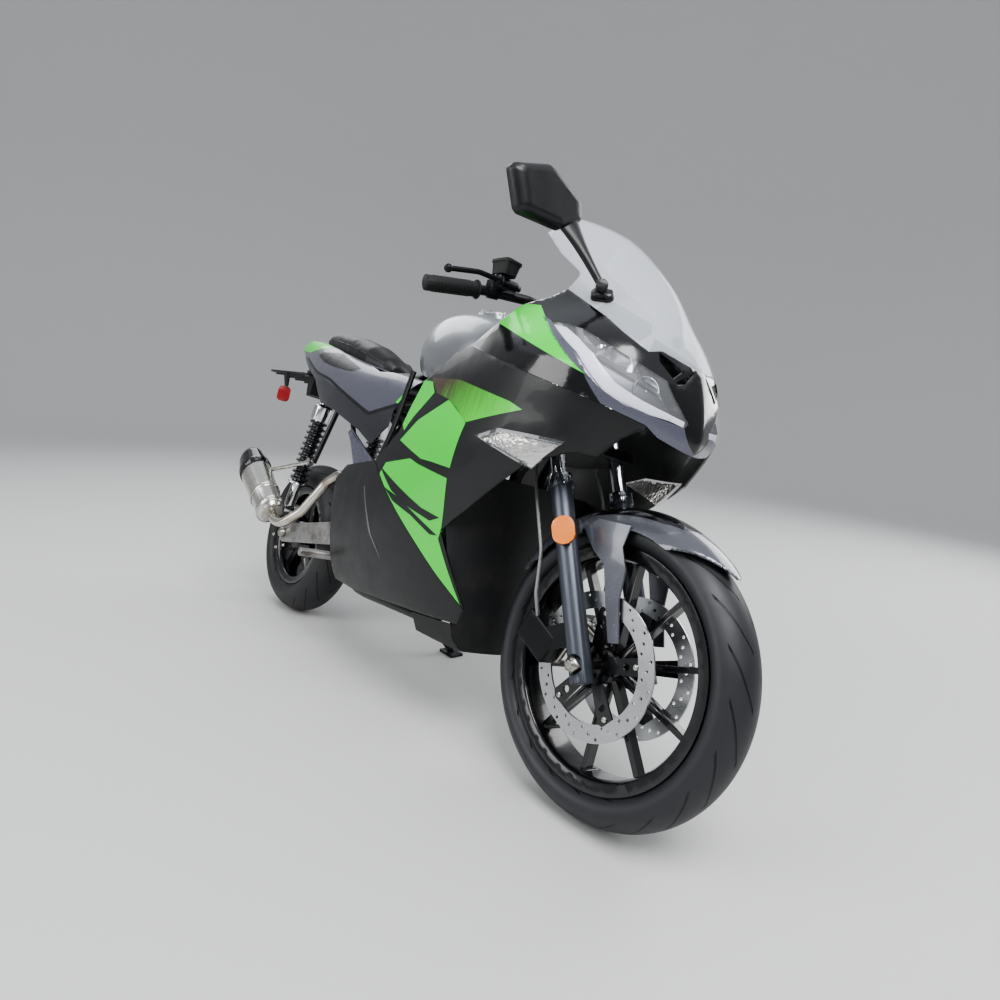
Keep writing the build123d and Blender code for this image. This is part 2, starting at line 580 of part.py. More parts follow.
# Side view of the whole tail.
TAIL_EDGE = [
    (-420, 940), (-412, 880), (-321, 873), (-133, 797), (10, 758), (101, 686), (237, 668), (411, 625), (479, 595), (552, 650),
    (562, 695), (602, 786), (520, 830), (300, 940),
]
SIDE_COVER = [(328, 627), (492, 551), (493, 517), (464, 503), (408, 503), (344, 584), (311, 614)]
COVER_Y = 122.0


def tail_inside(gap=SEAT_GAP, wall=PANEL):
    """The hollow under the tail, smaller all round by a gap."""
    *middle, (x, half, low, top) = TAIL_STATIONS[1:]
    return loft([tail_section(*s, wall + gap) for s in [*middle, (x + 10, half, low, top)]])


def tail_cowl():
    """Tail cowl, open underneath and in front, with openings that the pads fill."""
    outer = loft([tail_section(*s) for s in TAIL_STATIONS]) & side_prism(TAIL_EDGE, -200, 200)
    return outer - tail_inside(0.0) - pad_opening(RIDER_PAD) - pad_opening(PILLION_PAD)


def tail_pillar(side):
    """Curved trim bar between the tail and the side fairing, on its stay."""
    path = FilletPolyline((624, side * 153, 800), (602, side * 155, 650), (556, side * 153, 530), radius=260)
    return sweep(Plane(path @ 0, x_dir=(0, 1, 0), z_dir=path % 0) * RectangleRounded(8, 19, 3.5), path=path)


def side_cover(side):
    """Flat three-cornered cover under the tail, with a raised middle."""
    cover = side_prism(SIDE_COVER, side * COVER_Y, side * (COVER_Y + 4))
    inner = [(x + 0.18 * (422 - x), z + 0.18 * (556 - z)) for x, z in SIDE_COVER]
    raised = loft([Pos(0, side * (COVER_Y + 3.9), 0) * side_face(SIDE_COVER, 0.06), Pos(0, side * (COVER_Y + 8), 0)
                   * side_face(inner, 0.06)])
    return cover + raised


def side_face(outline, share):
    """A face in the XZ plane over an outline drawn in a share of the way to its middle."""
    mx, mz = sum(x for x, _ in outline) / len(outline), sum(z for _, z in outline) / len(outline)
    return make_face(Polyline(*[(x + share * (mx - x), 0, z + share * (mz - z)) for x, z in outline], close=True))


def behind_wall(ahead=0.0):
    """Everything behind the front face of the inner wall, or behind a copy of it moved ahead."""
    z = 150
    face = make_face(Wire([
        ThreePointArc((WALL_X - WALL_BOW + ahead, -WALL_HALF, z), (WALL_X + ahead, 0, z),
                      (WALL_X - WALL_BOW + ahead, WALL_HALF, z)),
        Line((WALL_X - WALL_BOW + ahead, WALL_HALF, z), (300, WALL_HALF, z)),
        Line((300, WALL_HALF, z), (300, -WALL_HALF, z)),
        Line((300, -WALL_HALF, z), (WALL_X - WALL_BOW + ahead, -WALL_HALF, z)),
    ]))
    return extrude(face, amount=WALL_TOP - z, dir=(0, 0, 1))


def inner_wall(space):
    """Curved wall across the fairing behind the front wheel."""
    wall = behind_wall(-SEAT_GAP) - behind_wall(-SEAT_GAP - PANEL)
    floor = side_prism([(300, 0), (1300, 0), (1300, 204.3), (300, 204.3)], -300, 300)
    return (wall & space) - floor


def main_frame(space, tank):
    """Head tube, twin spars, cradle, seat rails and the stays that carry the panels, the tank and the tail."""
    low = LOWER_YOKE + YOKE_THICK / 2 + 3
    high = UPPER_YOKE - YOKE_THICK / 2 - 3
    head = Pos(-FORK_OFFSET, 0, (low + high) / 2) * Cylinder(HEAD_TUBE_R, high - low)
    bore = Pos(-FORK_OFFSET, 0, (low + high) / 2) * Cylinder(STEM_R + FIT, high - low + 40)
    frame = FORK * head
    for s in (-1, 1):
        frame += tube_path([(1048, s * 14, 780), (950, s * 70, 782), (640, s * SPAR_Y, 752), (470, s * SPAR_Y, 600),
                            (452, s * SPAR_Y, 400), (452, s * SPAR_Y, 206), (560, s * SPAR_Y, 205), (860, s * 78, 225),
                            (976, s * 60, 330), (980, s * 40, 615), (1062, s * 12, 735)],
                           FRAME_TUBE_R, [80, 120, 110, 60, 70, 60, 60, 60, 60])
        frame += tube_path([(655, s * SPAR_Y, 752), (330, s * 88, 706), (88, s * RAIL_Y, 742), (-150, s * 46, 800),
                            (-280, s * 26, 800)], RAIL_R, [120, 100, 100])
        frame += Pos(700, s * 80, 785) * Box(60, 22, 56)
        frame += Pos(612, 0, 738) * rod_y(6, s * 70, s * (153 - 4 - SEAT_GAP))
        frame += rod((190, s * 86, 716), (392, s * 108, 518), 7)
        for x, z in [(392, 518), (455, 545)]:
            frame += Pos(x, 0, z) * rod_y(7, s * 90, s * (COVER_Y - SEAT_GAP))
    behind = behind_wall(-2 * SEAT_GAP - PANEL)
    for x, z in [(800, 767), (452, 450), (979, 540), (976, 330), (1235, 800)]:
        stay = Pos(x, 0, z) * rod_y(7, -260, 260) & space
        frame += stay & behind if z < WALL_TOP and x > 900 else stay
    frame += rod((1050, 0, NOSE_STAY_Z), (1235, 0, NOSE_STAY_Z), NOSE_STAY_R)
    frame += rod((150, -82, 734), STRAP_END, 8)
    frame += Pos(300, 0, 711) * rod_y(8, -88, 88)
    frame += Pos(-150, 0, 792) * rod_y(7, -160, 160) & tail_inside()
    return frame + stand_bracket() - FORK * bore - Pos(0, 0, -SEAT_GAP) * tank


def engine_block():
    """Engine: one block of the crankcase and the forward cylinder."""
    case = Pos(385, 0, 345) * Box(100, 150, 150)
    return case + Pos(535, 0, 345) * Box(200, 130, 130) + Pos(452, 0, 300) * rod_y(16, -69.7, 69.7)


def instrument_panel():
    """Instrument binnacle behind the screen, on a post from the nose stay."""
    place = Plane(BINNACLE, x_dir=(0, 1, 0), z_dir=(-0.5, 0, 0.87)).location
    shell = loft([place * Pos(0, 0, d) * RectangleRounded(a, b, r) for d, a, b, r in
                  [(-22, 96, 52, 12), (-6, 150, 78, 16), (8, 156, 84, 18)]], ruled=True)
    shell -= place * Pos(0, 0, 4) * extrude(RectangleRounded(144, 72, 14), amount=10)
    return shell + rod((BINNACLE[0] + 6, 0, NOSE_STAY_Z + NOSE_STAY_R + SEAT_GAP), BINNACLE, 7)


def slot_plate(x0, z0, r0, x1, z1, r1, y0, y1):
    """A plate along Y with two round ends joined by straight flanks."""
    ends = [Location((x0, 0, z0)) * rod_y(r0, y0, y1), Location((x1, 0, z1)) * rod_y(r1, y0, y1)]
    angle = atan2(z1 - z0, x1 - x0)
    nx, nz = -sin(angle), cos(angle)
    flank = [(x0 + nx * r0, z0 + nz * r0), (x1 + nx * r1, z1 + nz * r1), (x1 - nx * r1, z1 - nz * r1),
             (x0 - nx * r0, z0 - nz * r0)]
    return ends[0] + ends[1] + side_prism(flank, y0, y1)


def transmission_case():
    """Belt-drive case on the left, from the crankcase to the rear axle."""
    zr = REAR_AXLE[2]
    case = slot_plate(0, zr, 62, 300, 300, 72, 75, CASE_FACE)
    case += slot_plate(0, zr, 64, 300, 300, 75, 98, 106)
    for x, z, r in [(0, zr, 46), (300, 300, 56)]:
        case += Pos(x, 0, z) * rod_y(r, CASE_FACE, CASE_FACE + 6)
        for i in range(CASE_FINS):
            fin = Pos(0, CASE_FACE + 7, r * 0.6) * Box(4, 6, r * 0.62)
            case += Pos(x, 0, z) * Rot(0, i * 360 / CASE_FINS, 0) * fin
    for i in range(4):
        case += side_prism([(96 + 30 * i, 218), (102 + 30 * i, 218), (112 + 30 * i, 322), (106 + 30 * i, 322)],
                           CASE_FACE, CASE_FACE + 4)
    case += slot_plate(0, zr, 20, SHOCK_LOW[0], SHOCK_LOW[1], 16, ARM_Y - ARM_WIDTH / 2, ARM_Y + ARM_WIDTH / 2)
    return case - Pos(0, 0, zr) * rod_y(REAR_AXLE_R + FIT, 60, 90)


def axle_arm():
    """Right-hand arm from the crankcase to the rear axle, with the shock's lower lug."""
    zr = REAR_AXLE[2]
    inner, outer = ARM_WIDTH / 2 - ARM_Y, -ARM_WIDTH / 2 - ARM_Y
    arm = slot_plate(0, zr, 30, 340, 320, 34, outer, inner)
    arm += slot_plate(0, zr, 20, SHOCK_LOW[0], SHOCK_LOW[1], 16, outer, inner - 4)
    return arm - Pos(0, 0, zr) * rod_y(REAR_AXLE_R + FIT, -120, -60)


def rear_axle():
    """Rear axle from the transmission's output to its nut on the right."""
    face = ARM_Y + ARM_WIDTH / 2
    return rod_y(REAR_AXLE_R, -face - 18, 88) + rod_y(15, -face - 14, -face)


def shock(side):
    """Damper with its eyes, spring seats and cap, and the coil as a stack of windings on the damper's tube."""
    low = Vector(SHOCK_LOW[0], side * SHOCK_Y, SHOCK_LOW[1])
    top = Vector(SHOCK_TOP[0], side * SHOCK_TOP_Y, SHOCK_TOP[1])
    way = (top - low).normalized()
    length = (top - low).length
    place = Plane(low, z_dir=way).location
    foot, head = 96.0, length - 112.0
    profile = [(0, 12), (17, 12), (17, foot - 12), (SPRING_R + 3, foot - 8), (SPRING_R + 3, foot), (SPRING_R - 9, foot)]
    pitch = (head - foot) / COILS
    for i in range(COILS):
        z = foot + i * pitch
        profile += [(SPRING_R - 9, z + 0.2 * pitch), (SPRING_R, z + 0.35 * pitch), (SPRING_R, z + 0.65 * pitch),
                    (SPRING_R - 9, z + 0.8 * pitch)]
    profile += [(SPRING_R - 9, head), (SPRING_R + 3, head), (SPRING_R + 3, head + 44), (15, head + 54),
                (15, length - 10), (0, length - 10)]
    body = place * revolve(make_face(Polyline(*[(r, 0, z) for r, z in profile], close=True)), axis=Axis.Z)
    body += Pos(low.X, 0, low.Z) * rod_y(13, side * (ARM_Y + ARM_WIDTH / 2 + SEAT_GAP), side * (SHOCK_Y + 16))
    body += Pos(top.X, 0, top.Z) * rod_y(13, side * (RAIL_Y + RAIL_R + 2 * SEAT_GAP), side * (SHOCK_TOP_Y + 12))
    return body


SILENCER_FRONT = Vector(85, -190, 312)
SILENCER_REAR = Vector(-165, -205, 457)
STRAP_END = (128.0, -118.0, 496.0)      # bolt that holds the silencer's strap to its hanger
STRAP_R = 6.5


def silencer():
    """Short oval silencer tilted up behind the right arm: inlet ring, band, sleeve and a cap round the outlet."""
    front, rear = SILENCER_FRONT, SILENCER_REAR
    way = (rear - front).normalized()
    plane = Plane(front, x_dir=Vector(0, 1, 0).cross(way), z_dir=way)
    length = (rear - front).length
    band, cap = 0.28 * length, 0.72 * length
    stages = [
        [(0, 36, 30), (14, 46, 38)], [(14, 50, 42), (30, 50, 42)], [(30, 47, 39), (band, 50, 42)],
        [(band, 53, 45), (band + 12, 53, 45)], [(band + 12, 50, 42), (cap, 54, 46)], [(cap, 57, 49), (cap + 16, 57, 49)],
        [(cap + 16, 54, 46), (length - 14, 48, 36), (length, 42, 30)],
    ]
    body = None
    for stage in stages:
        part = loft([plane * Pos(0, 0, d) * Ellipse(a, b) for d, a, b in stage], ruled=True)
        body = part if body is None else body + part
    body -= loft([plane * Pos(0, 0, d) * Ellipse(a, b) for d, a, b in [(length - 42, 18, 15), (length + 2, 30, 20)]])
    start = front + way * (cap + 8) + Vector(0, 20, 0)
    end = Vector(STRAP_END) - Vector(0, STRAP_R + 8 + SEAT_GAP, 0)
    return body + rod(start, end, STRAP_R) + Pos(*end) * Rot(90, 0, 0) * Cylinder(13, 2 * STRAP_R)


def exhaust_pipe():
    """Bent pipe from under the engine to the silencer's front."""
    way = (SILENCER_FRONT - SILENCER_REAR).normalized()
    mouth, bend = SILENCER_FRONT + way * SEAT_GAP, SILENCER_FRONT + way * 62
    return tube_path([(560, -65.3, 345), (560, -118, 345), (520, -118, 482), (312, -118, 487), (255, -122, 455),
                      (200, -150, 350), tuple(bend), tuple(mouth)], 14, [30, 50, 45, 45, 90, 55])


def number_plate_bracket():
    """Flat mudguard tongue behind the tail, with two holes for the plate."""
    tongue = Pos((PLATE_FRONT + PLATE_REAR) / 2, 0, PLATE_Z) * Box(PLATE_FRONT - PLATE_REAR, 150, PLATE_THICK)
    tongue = fillet(tongue.edges().filter_by(Axis.Z), 30)
    for side in (-1, 1):
        tongue -= Pos(PLATE_HOLES_X, side * PLATE_BOLTS / 2, PLATE_Z) * Cylinder(PLATE_HOLE_R, PLATE_THICK + 2)
    low = PLATE_Z - PLATE_THICK / 2
    for y in RIB_PLACES:
        tongue += Pos((PLATE_FRONT + PLATE_REAR) / 2, y, low - 4) * Box(PLATE_FRONT - PLATE_REAR - 90, 4, 9)
    flap = [(-252, low + 1), (-196, low + 1), (-206, low - 64), (-232, low - 70)]
    tongue += side_prism(flap, -40, 40)
    return tongue + side_prism([(-418, low + 1), (-382, low + 1), (-372, low - 50), (-380, low - 50)], -66, -54)


def rear_reflector():
    """Round-cornered reflector on the stalk under the number plate bracket."""
    place = Plane((REFLECTOR[0], REFLECTOR[1], REFLECTOR[2]), x_dir=(0.5, 0.87, 0), z_dir=(-0.87, 0.5, 0.1))
    plate = extrude(place.location * RectangleRounded(44, 56, 14), amount=9)
    return plate - number_plate_bracket()


def footpeg(side):
    """Rider's peg with its hanger on the frame."""
    peg = Pos(400, 0, 262) * rod_y(12, side * 114, side * 222)
    hanger = Pos(422, side * 106.3, 262) * Box(76, 16, 34)
    return peg + hanger


def mirror_holes():
    """The two bolt holes that run through a mirror pad and the cowl behind it, right side."""
    plane = Plane(MIRROR_FOOT, x_dir=MIRROR_ALONG, z_dir=MIRROR_AXIS).location
    return [plane * Pos(side * MIRROR_BOLTS / 2, 0, 0) * Cylinder(MIRROR_HOLE_R, 60) for side in (-1, 1)]


def mirror_pad(hull):
    """Oval pad that follows the cowl, with two bolt holes, on the right side."""
    plane = Plane(MIRROR_FOOT, x_dir=MIRROR_ALONG, z_dir=MIRROR_AXIS).location
    pad_body = plane * (extrude(SlotOverall(46, 26), amount=14, both=True) - Pos(0, 0, 10) * Box(60, 40, 8))
    for hole in mirror_holes():
        pad_body -= hole
    return pad_body - hull


def mirror_right():
    """Angular mirror head, bulged in front, on a tapered stalk with a pivot on the pad's foot."""
    head_plane = Plane(MIRROR_HEAD, x_dir=(0, 1, 0), z_dir=(1, 0, 0.12)).location
    rim = make_face(Polyline(*MIRROR_RIM, close=True))
    rim = fillet(rim.vertices(), 10)
    crown = scale(rim, by=0.62)
    bowl = loft([rim, Pos(0, 0, 12) * scale(rim, by=0.93), Pos(0, 0, 20) * crown])
    head = head_plane * (bowl + extrude(rim, amount=-8))
    head -= head_plane * Pos(0, 0, -8) * extrude(scale(rim, by=0.92), amount=3)
    foot = Plane(MIRROR_FOOT, x_dir=MIRROR_ALONG, z_dir=MIRROR_AXIS).location
    base = foot * extrude(Pos(0, 0, 6.3) * SlotOverall(44, 24), amount=8)
    pivot, top = Vector(MIRROR_FOOT) + Vector(MIRROR_AXIS) * MIRROR_PIVOT, Vector(MIRROR_NECK)
    neck = rod(Vector(MIRROR_FOOT) + Vector(MIRROR_AXIS) * 8, pivot, 9)
    knuckle = Plane(pivot, z_dir=(0.72, -0.7, 0)).location * Cylinder(12, 20)
    way = (top - pivot).normalized()
    sections = []
    for share, wide, deep in [(0.0, 8, 7), (0.4, 11, 8), (0.75, 18, 9), (1.0, 28, 9)]:
        plane = Plane(pivot + (top - pivot) * share, x_dir=way.cross(Vector(1, 0, 0)), z_dir=way)
        sections.append(plane.location * Ellipse(wide, deep))
    return head + loft(sections) + knuckle + neck + base


def side_stand():
    """Stand leg with a flat foot and the eye that turns on its pin."""
    px, py, pz = STAND_PIVOT
    fx, fy = STAND_FOOT
    ground = fy * tan(radians(LEAN))
    leg = rod((px, py, pz), (fx, fy, ground + 9), STAND_R)
    up = Plane((fx, fy, ground), x_dir=(1, 0, 0), z_dir=(0, -sin(radians(LEAN)), cos(radians(LEAN))))
    foot = up.location * Pos(0, 0, 4) * Box(62, 40, 8)
    plane = Plane(STAND_PIVOT, z_dir=STAND_AXIS).location
    eye = plane * Cylinder(17, 18)
    bore = plane * Cylinder(6 + FIT, 60)
    return leg + foot + eye - bore


def stand_bracket():
    """Fork welded to the left cradle rail, with the stand's pin."""
    plane = Plane(STAND_PIVOT, z_dir=STAND_AXIS).location
    pin = plane * Pos(0, 0, -4) * Cylinder(6, 36)
    lug = plane * Pos(0, 0, -18) * Cylinder(17, 10)
    end = Vector(STAND_PIVOT) - Vector(STAND_AXIS) * 20
    return pin + lug + rod((STAND_PIVOT[0], 84, 205), end, 8)


def pair(one):
    """A piece and its mirror image, as two solids that share a node."""
    return Compound(children=[*one.solids(), *mirrored(one).solids()])


def both(make):
    """The right and left pieces of a function of the side, as two solids that share a node."""
    return Compound(children=[*make(-1).solids(), *make(1).solids()])


def steering_parts():
    """Everything that turns with the handlebar, without the wheel."""
    front = Pos(*FRONT_AXLE)
    return {
        "fork_legs": FORK * both(fork_leg),
        "lower_yoke": FORK * lower_yoke(),
        "upper_yoke": FORK * upper_yoke(),
        "front_axle": front * front_axle(),
        "front_calipers": FORK * both(caliper),
        "front_fender": front * front_fender(),
        "handlebar": bar_tube(BAR_R),
        "grips": both(grip),
        "brake_levers": both(brake_lever),
        "brake_reservoir": brake_reservoir(-1),
        "fork_reflectors": FORK * both(fork_reflector),
        "brake_hose": FORK * both(brake_hose),
    }


def wheel_parts():
    """The two wheels."""
    front, rear = Pos(*FRONT_AXLE), Pos(*REAR_AXLE)
    return {
        "front_tyre": front * tyre(FRONT_TYRE_R, FRONT_TYRE_WIDTH, FRONT_FLANGE_R, FRONT_RIM_WIDTH),
        "front_rim": front * front_rim(),
        "front_discs": front * both(brake_disc),
        "rear_tyre": rear * tyre(REAR_TYRE_R, REAR_TYRE_WIDTH, REAR_FLANGE_R, REAR_RIM_WIDTH),
        "rear_rim": rear * rear_rim(),
    }


def fairing_parts(space):
    """The body panels, the lamps set in them and the wall behind the front wheel."""
    outer, inner = half_hull(FAIRING_HULL), half_hull(FAIRING_HULL, PANEL)
    lamp = shell_panel(outer, inner, HEADLIGHT_EDGE)
    indicator = shell_panel(outer, inner, INDICATOR_EDGE)
    lights = side_prism(HEADLIGHT_EDGE, 0, -300) + side_prism(INDICATOR_EDGE, 0, -300)
    hollow = inner & side_prism([(300, 204), (1300, 204), (1300, 300), (300, 300)], 0, -300)
    belly = (side_prism(BELLY_EDGE, 0, -300) & outer & behind_wall()) - hollow
    cowl = shell_panel(outer, inner, UPPER_COWL_EDGE) - lights
    for slot in NOSE_SLOTS:
        cowl -= front_prism(slot, 1300, 1450)
    screen = shell_panel(outer, inner, SCREEN_EDGE)
    for hole in mirror_holes():
        screen -= hole
    return {
        "upper_cowl": cowl + mirrored(cowl),
        "side_fairings": pair(shell_panel(outer, inner, SIDE_FAIRING_EDGE) - lights),
        "lower_covers": pair(shell_panel(outer, inner, LOWER_COVER_EDGE)),
        "belly_pan": belly + mirrored(belly),
        "headlights": pair(lamp),
        "indicators": pair(indicator),
        "inner_wall": inner_wall(space),
        "windscreen": screen + mirrored(screen),
        "mirror_pads": pair(mirror_pad(half_hull(FAIRING_HULL, -SEAT_GAP))),
        "mirror_right": mirror_right(),
    }


def build_parts():
    """All nodes by name, upright in the motorcycle's own frame."""
    room = half_hull(FAIRING_HULL, PANEL + SEAT_GAP)
    space = room + mirrored(room)
    tank = fuel_tank()
    nodes = {**wheel_parts(), **steering_parts(), **fairing_parts(space)}
    nodes["main_frame"] = main_frame(space, tank)
    nodes["fuel_tank"] = tank
    nodes["filler_cap"] = filler_cap()
    nodes["rider_seat"] = pad(RIDER_PAD)
    nodes["pillion_pad"] = pad(PILLION_PAD)
    nodes["tail_cowl"] = tail_cowl()
    nodes["number_plate_bracket"] = number_plate_bracket()
    nodes["rear_reflector"] = rear_reflector()
    nodes["instrument_panel"] = instrument_panel()
    nodes["tail_pillars"] = both(tail_pillar)
    nodes["side_covers"] = both(side_cover)
    nodes["engine_block"] = engine_block()
    nodes["transmission_case"] = transmission_case()
    nodes["axle_arm"] = axle_arm()
    nodes["rear_axle"] = Pos(*REAR_AXLE) * rear_axle()
    nodes["rear_shocks"] = both(shock)
    nodes["silencer"] = silencer()
    nodes["exhaust_pipe"] = exhaust_pipe()
    nodes["footpegs"] = both(footpeg)
    nodes["side_stand"] = side_stand()
    return nodes


def parking_place(nodes):
    """Where the upright machine goes: leaned on its stand, the middle of its footprint at the origin."""
    boxes = [(Rot(-LEAN, 0, 0) * shape).bounding_box() for shape in nodes.values()]
    low_x, high_x = min(b.min.X for b in boxes), max(b.max.X for b in boxes)
    low_y, high_y = min(b.min.Y for b in boxes), max(b.max.Y for b in boxes)
    return Pos(-(low_x + high_x) / 2, -(low_y + high_y) / 2, -min(b.min.Z for b in boxes)) * Rot(-LEAN, 0, 0)


def main():
    """Build every node and write it in its parked place."""
    os.makedirs("parts", exist_ok=True)
    nodes = build_parts()
    place = parking_place(nodes)
    for name, shape in nodes.items():
        export_step(place * shape, f"parts/{name}.step")
    print(len(nodes), "nodes, parked at", place.position)


if __name__ == "__main__":
    main()
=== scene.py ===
"""Looks of a light sport motorcycle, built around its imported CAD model."""

import json
import logging
import math
from collections.abc import Callable, Iterator
from contextlib import contextmanager
from dataclasses import dataclass
from enum import Enum

import bmesh
import bpy
from mathutils import Matrix, Vector

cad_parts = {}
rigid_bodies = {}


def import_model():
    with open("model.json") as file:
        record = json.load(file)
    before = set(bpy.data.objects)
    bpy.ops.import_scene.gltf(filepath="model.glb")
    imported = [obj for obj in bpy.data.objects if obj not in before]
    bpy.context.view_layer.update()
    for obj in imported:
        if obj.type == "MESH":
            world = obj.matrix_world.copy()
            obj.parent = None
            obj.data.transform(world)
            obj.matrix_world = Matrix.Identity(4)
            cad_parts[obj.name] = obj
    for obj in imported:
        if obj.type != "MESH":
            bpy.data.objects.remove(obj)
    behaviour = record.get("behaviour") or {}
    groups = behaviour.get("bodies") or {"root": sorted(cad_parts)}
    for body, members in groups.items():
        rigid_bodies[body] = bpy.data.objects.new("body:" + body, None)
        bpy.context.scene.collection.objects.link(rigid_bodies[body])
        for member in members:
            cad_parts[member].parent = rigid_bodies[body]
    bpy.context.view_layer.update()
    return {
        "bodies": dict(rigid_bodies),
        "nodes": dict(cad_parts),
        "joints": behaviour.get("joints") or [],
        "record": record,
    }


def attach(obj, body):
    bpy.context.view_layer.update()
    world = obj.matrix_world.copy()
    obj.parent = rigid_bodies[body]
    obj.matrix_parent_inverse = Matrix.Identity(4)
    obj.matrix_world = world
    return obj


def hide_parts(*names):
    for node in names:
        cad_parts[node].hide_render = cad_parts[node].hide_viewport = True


log = logging.getLogger("motorcycle")

LEAN = math.radians(12.5)
RAKE = math.radians(28.0)
AXLE_HEIGHT = 247.61  # rear axle above the ground in the upright machine, mm
FRONT_AXLE, REAR_AXLE = (1345.0, 0.0, 293.6), (0.0, 0.0, AXLE_HEIGHT)  # in the upright machine, mm
MERGE = 0.00002  # points of a CAD mesh that are nearer than this are one point, m


# ---- the machine's own frame ---------------------------------------------------------------------
class Upright:
    """The upright machine's frame in millimetres: X forward, Y left, Z up, from under the rear axle."""

    origin = Vector((0.0, 0.0, 0.0))

    @classmethod
    def settle(cls, joints: list[dict]) -> None:
        """Finds the frame's origin from the rear wheel's joint.

        Args:
            joints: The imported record's joints.
        """
        hub = next(Vector(j["pos_m"]) for j in joints if j["name"] == "rear_wheel_spin")
        cls.origin = hub - cls.turn() @ Vector((0, 0, AXLE_HEIGHT)) / 1000

    @staticmethod
    def turn() -> Matrix:
        """The rotation that leans the machine."""
        return Matrix.Rotation(-LEAN, 3, "X")

    @classmethod
    def matrix(cls) -> Matrix:
        """The transform from the machine's millimetres to the row's metres."""
        return Matrix.Translation(cls.origin) @ cls.turn().to_4x4() @ Matrix.Scale(0.001, 4)

    @classmethod
    def point(cls, x: float, y: float, z: float) -> Vector:
        """A point of the machine in the row's metres."""
        return cls.matrix() @ Vector((x, y, z))


# ---- node trees ----------------------------------------------------------------------------------
def linear(code: str) -> tuple[float, float, float, float]:
    """Turns an sRGB hex colour to linear values.

    Args:
        code: Six hex digits, such as "8fd14f".

    Returns:
        Red, green, blue and alpha.
    """
    parts = [int(code[i : i + 2], 16) / 255 for i in (0, 2, 4)]
    red, green, blue = (c / 12.92 if c <= 0.04045 else ((c + 0.055) / 1.055) ** 2.4 for c in parts)
    return red, green, blue, 1.0


def add_node(
    tree: bpy.types.NodeTree, kind: str, inputs: dict | None = None, **settings: object
) -> bpy.types.Node:
    """Adds a node with its settings, values and links.

    Args:
        tree: The material's node tree.
        kind: The node's type, without its "ShaderNode" prefix.
        inputs: Socket name or number to a value, or to another node's output socket.
        settings: Attributes of the node.

    Returns:
        The new node.
    """
    node = tree.nodes.new("ShaderNode" + kind)
    for name, value in settings.items():
        setattr(node, name, value)
    for key, value in (inputs or {}).items():
        if isinstance(value, bpy.types.NodeSocket):
            tree.links.new(value, node.inputs[key])
        else:
            node.inputs[key].default_value = value
    return node


def upright_coordinates(
    tree: bpy.types.NodeTree, centre: tuple[float, float, float] = (0, 0, 0)
) -> bpy.types.NodeSocket:
    """Finds a surface point's place in the upright machine's millimetres.

    Args:
        tree: The material's node tree.
        centre: The place that counts as zero, mm.

    Returns:
        A vector socket.
    """
    place = {"Vector": add_node(tree, "TexCoord").outputs["Object"], "Location": Upright.point(*centre)}
    lean = {"Rotation": (-LEAN, 0, 0), "Scale": (0.001,) * 3}
    return add_node(tree, "Mapping", place | lean, vector_type="TEXTURE").outputs["Vector"]


class Grain(Enum):
    """How a surface was made, as the fine relief that it leaves."""

    NONE = "smooth"
    MOULDED = "moulded"
    CAST = "cast"
    BRUSHED = "brushed"
    PEEL = "sprayed"
    LEATHER = "leather"


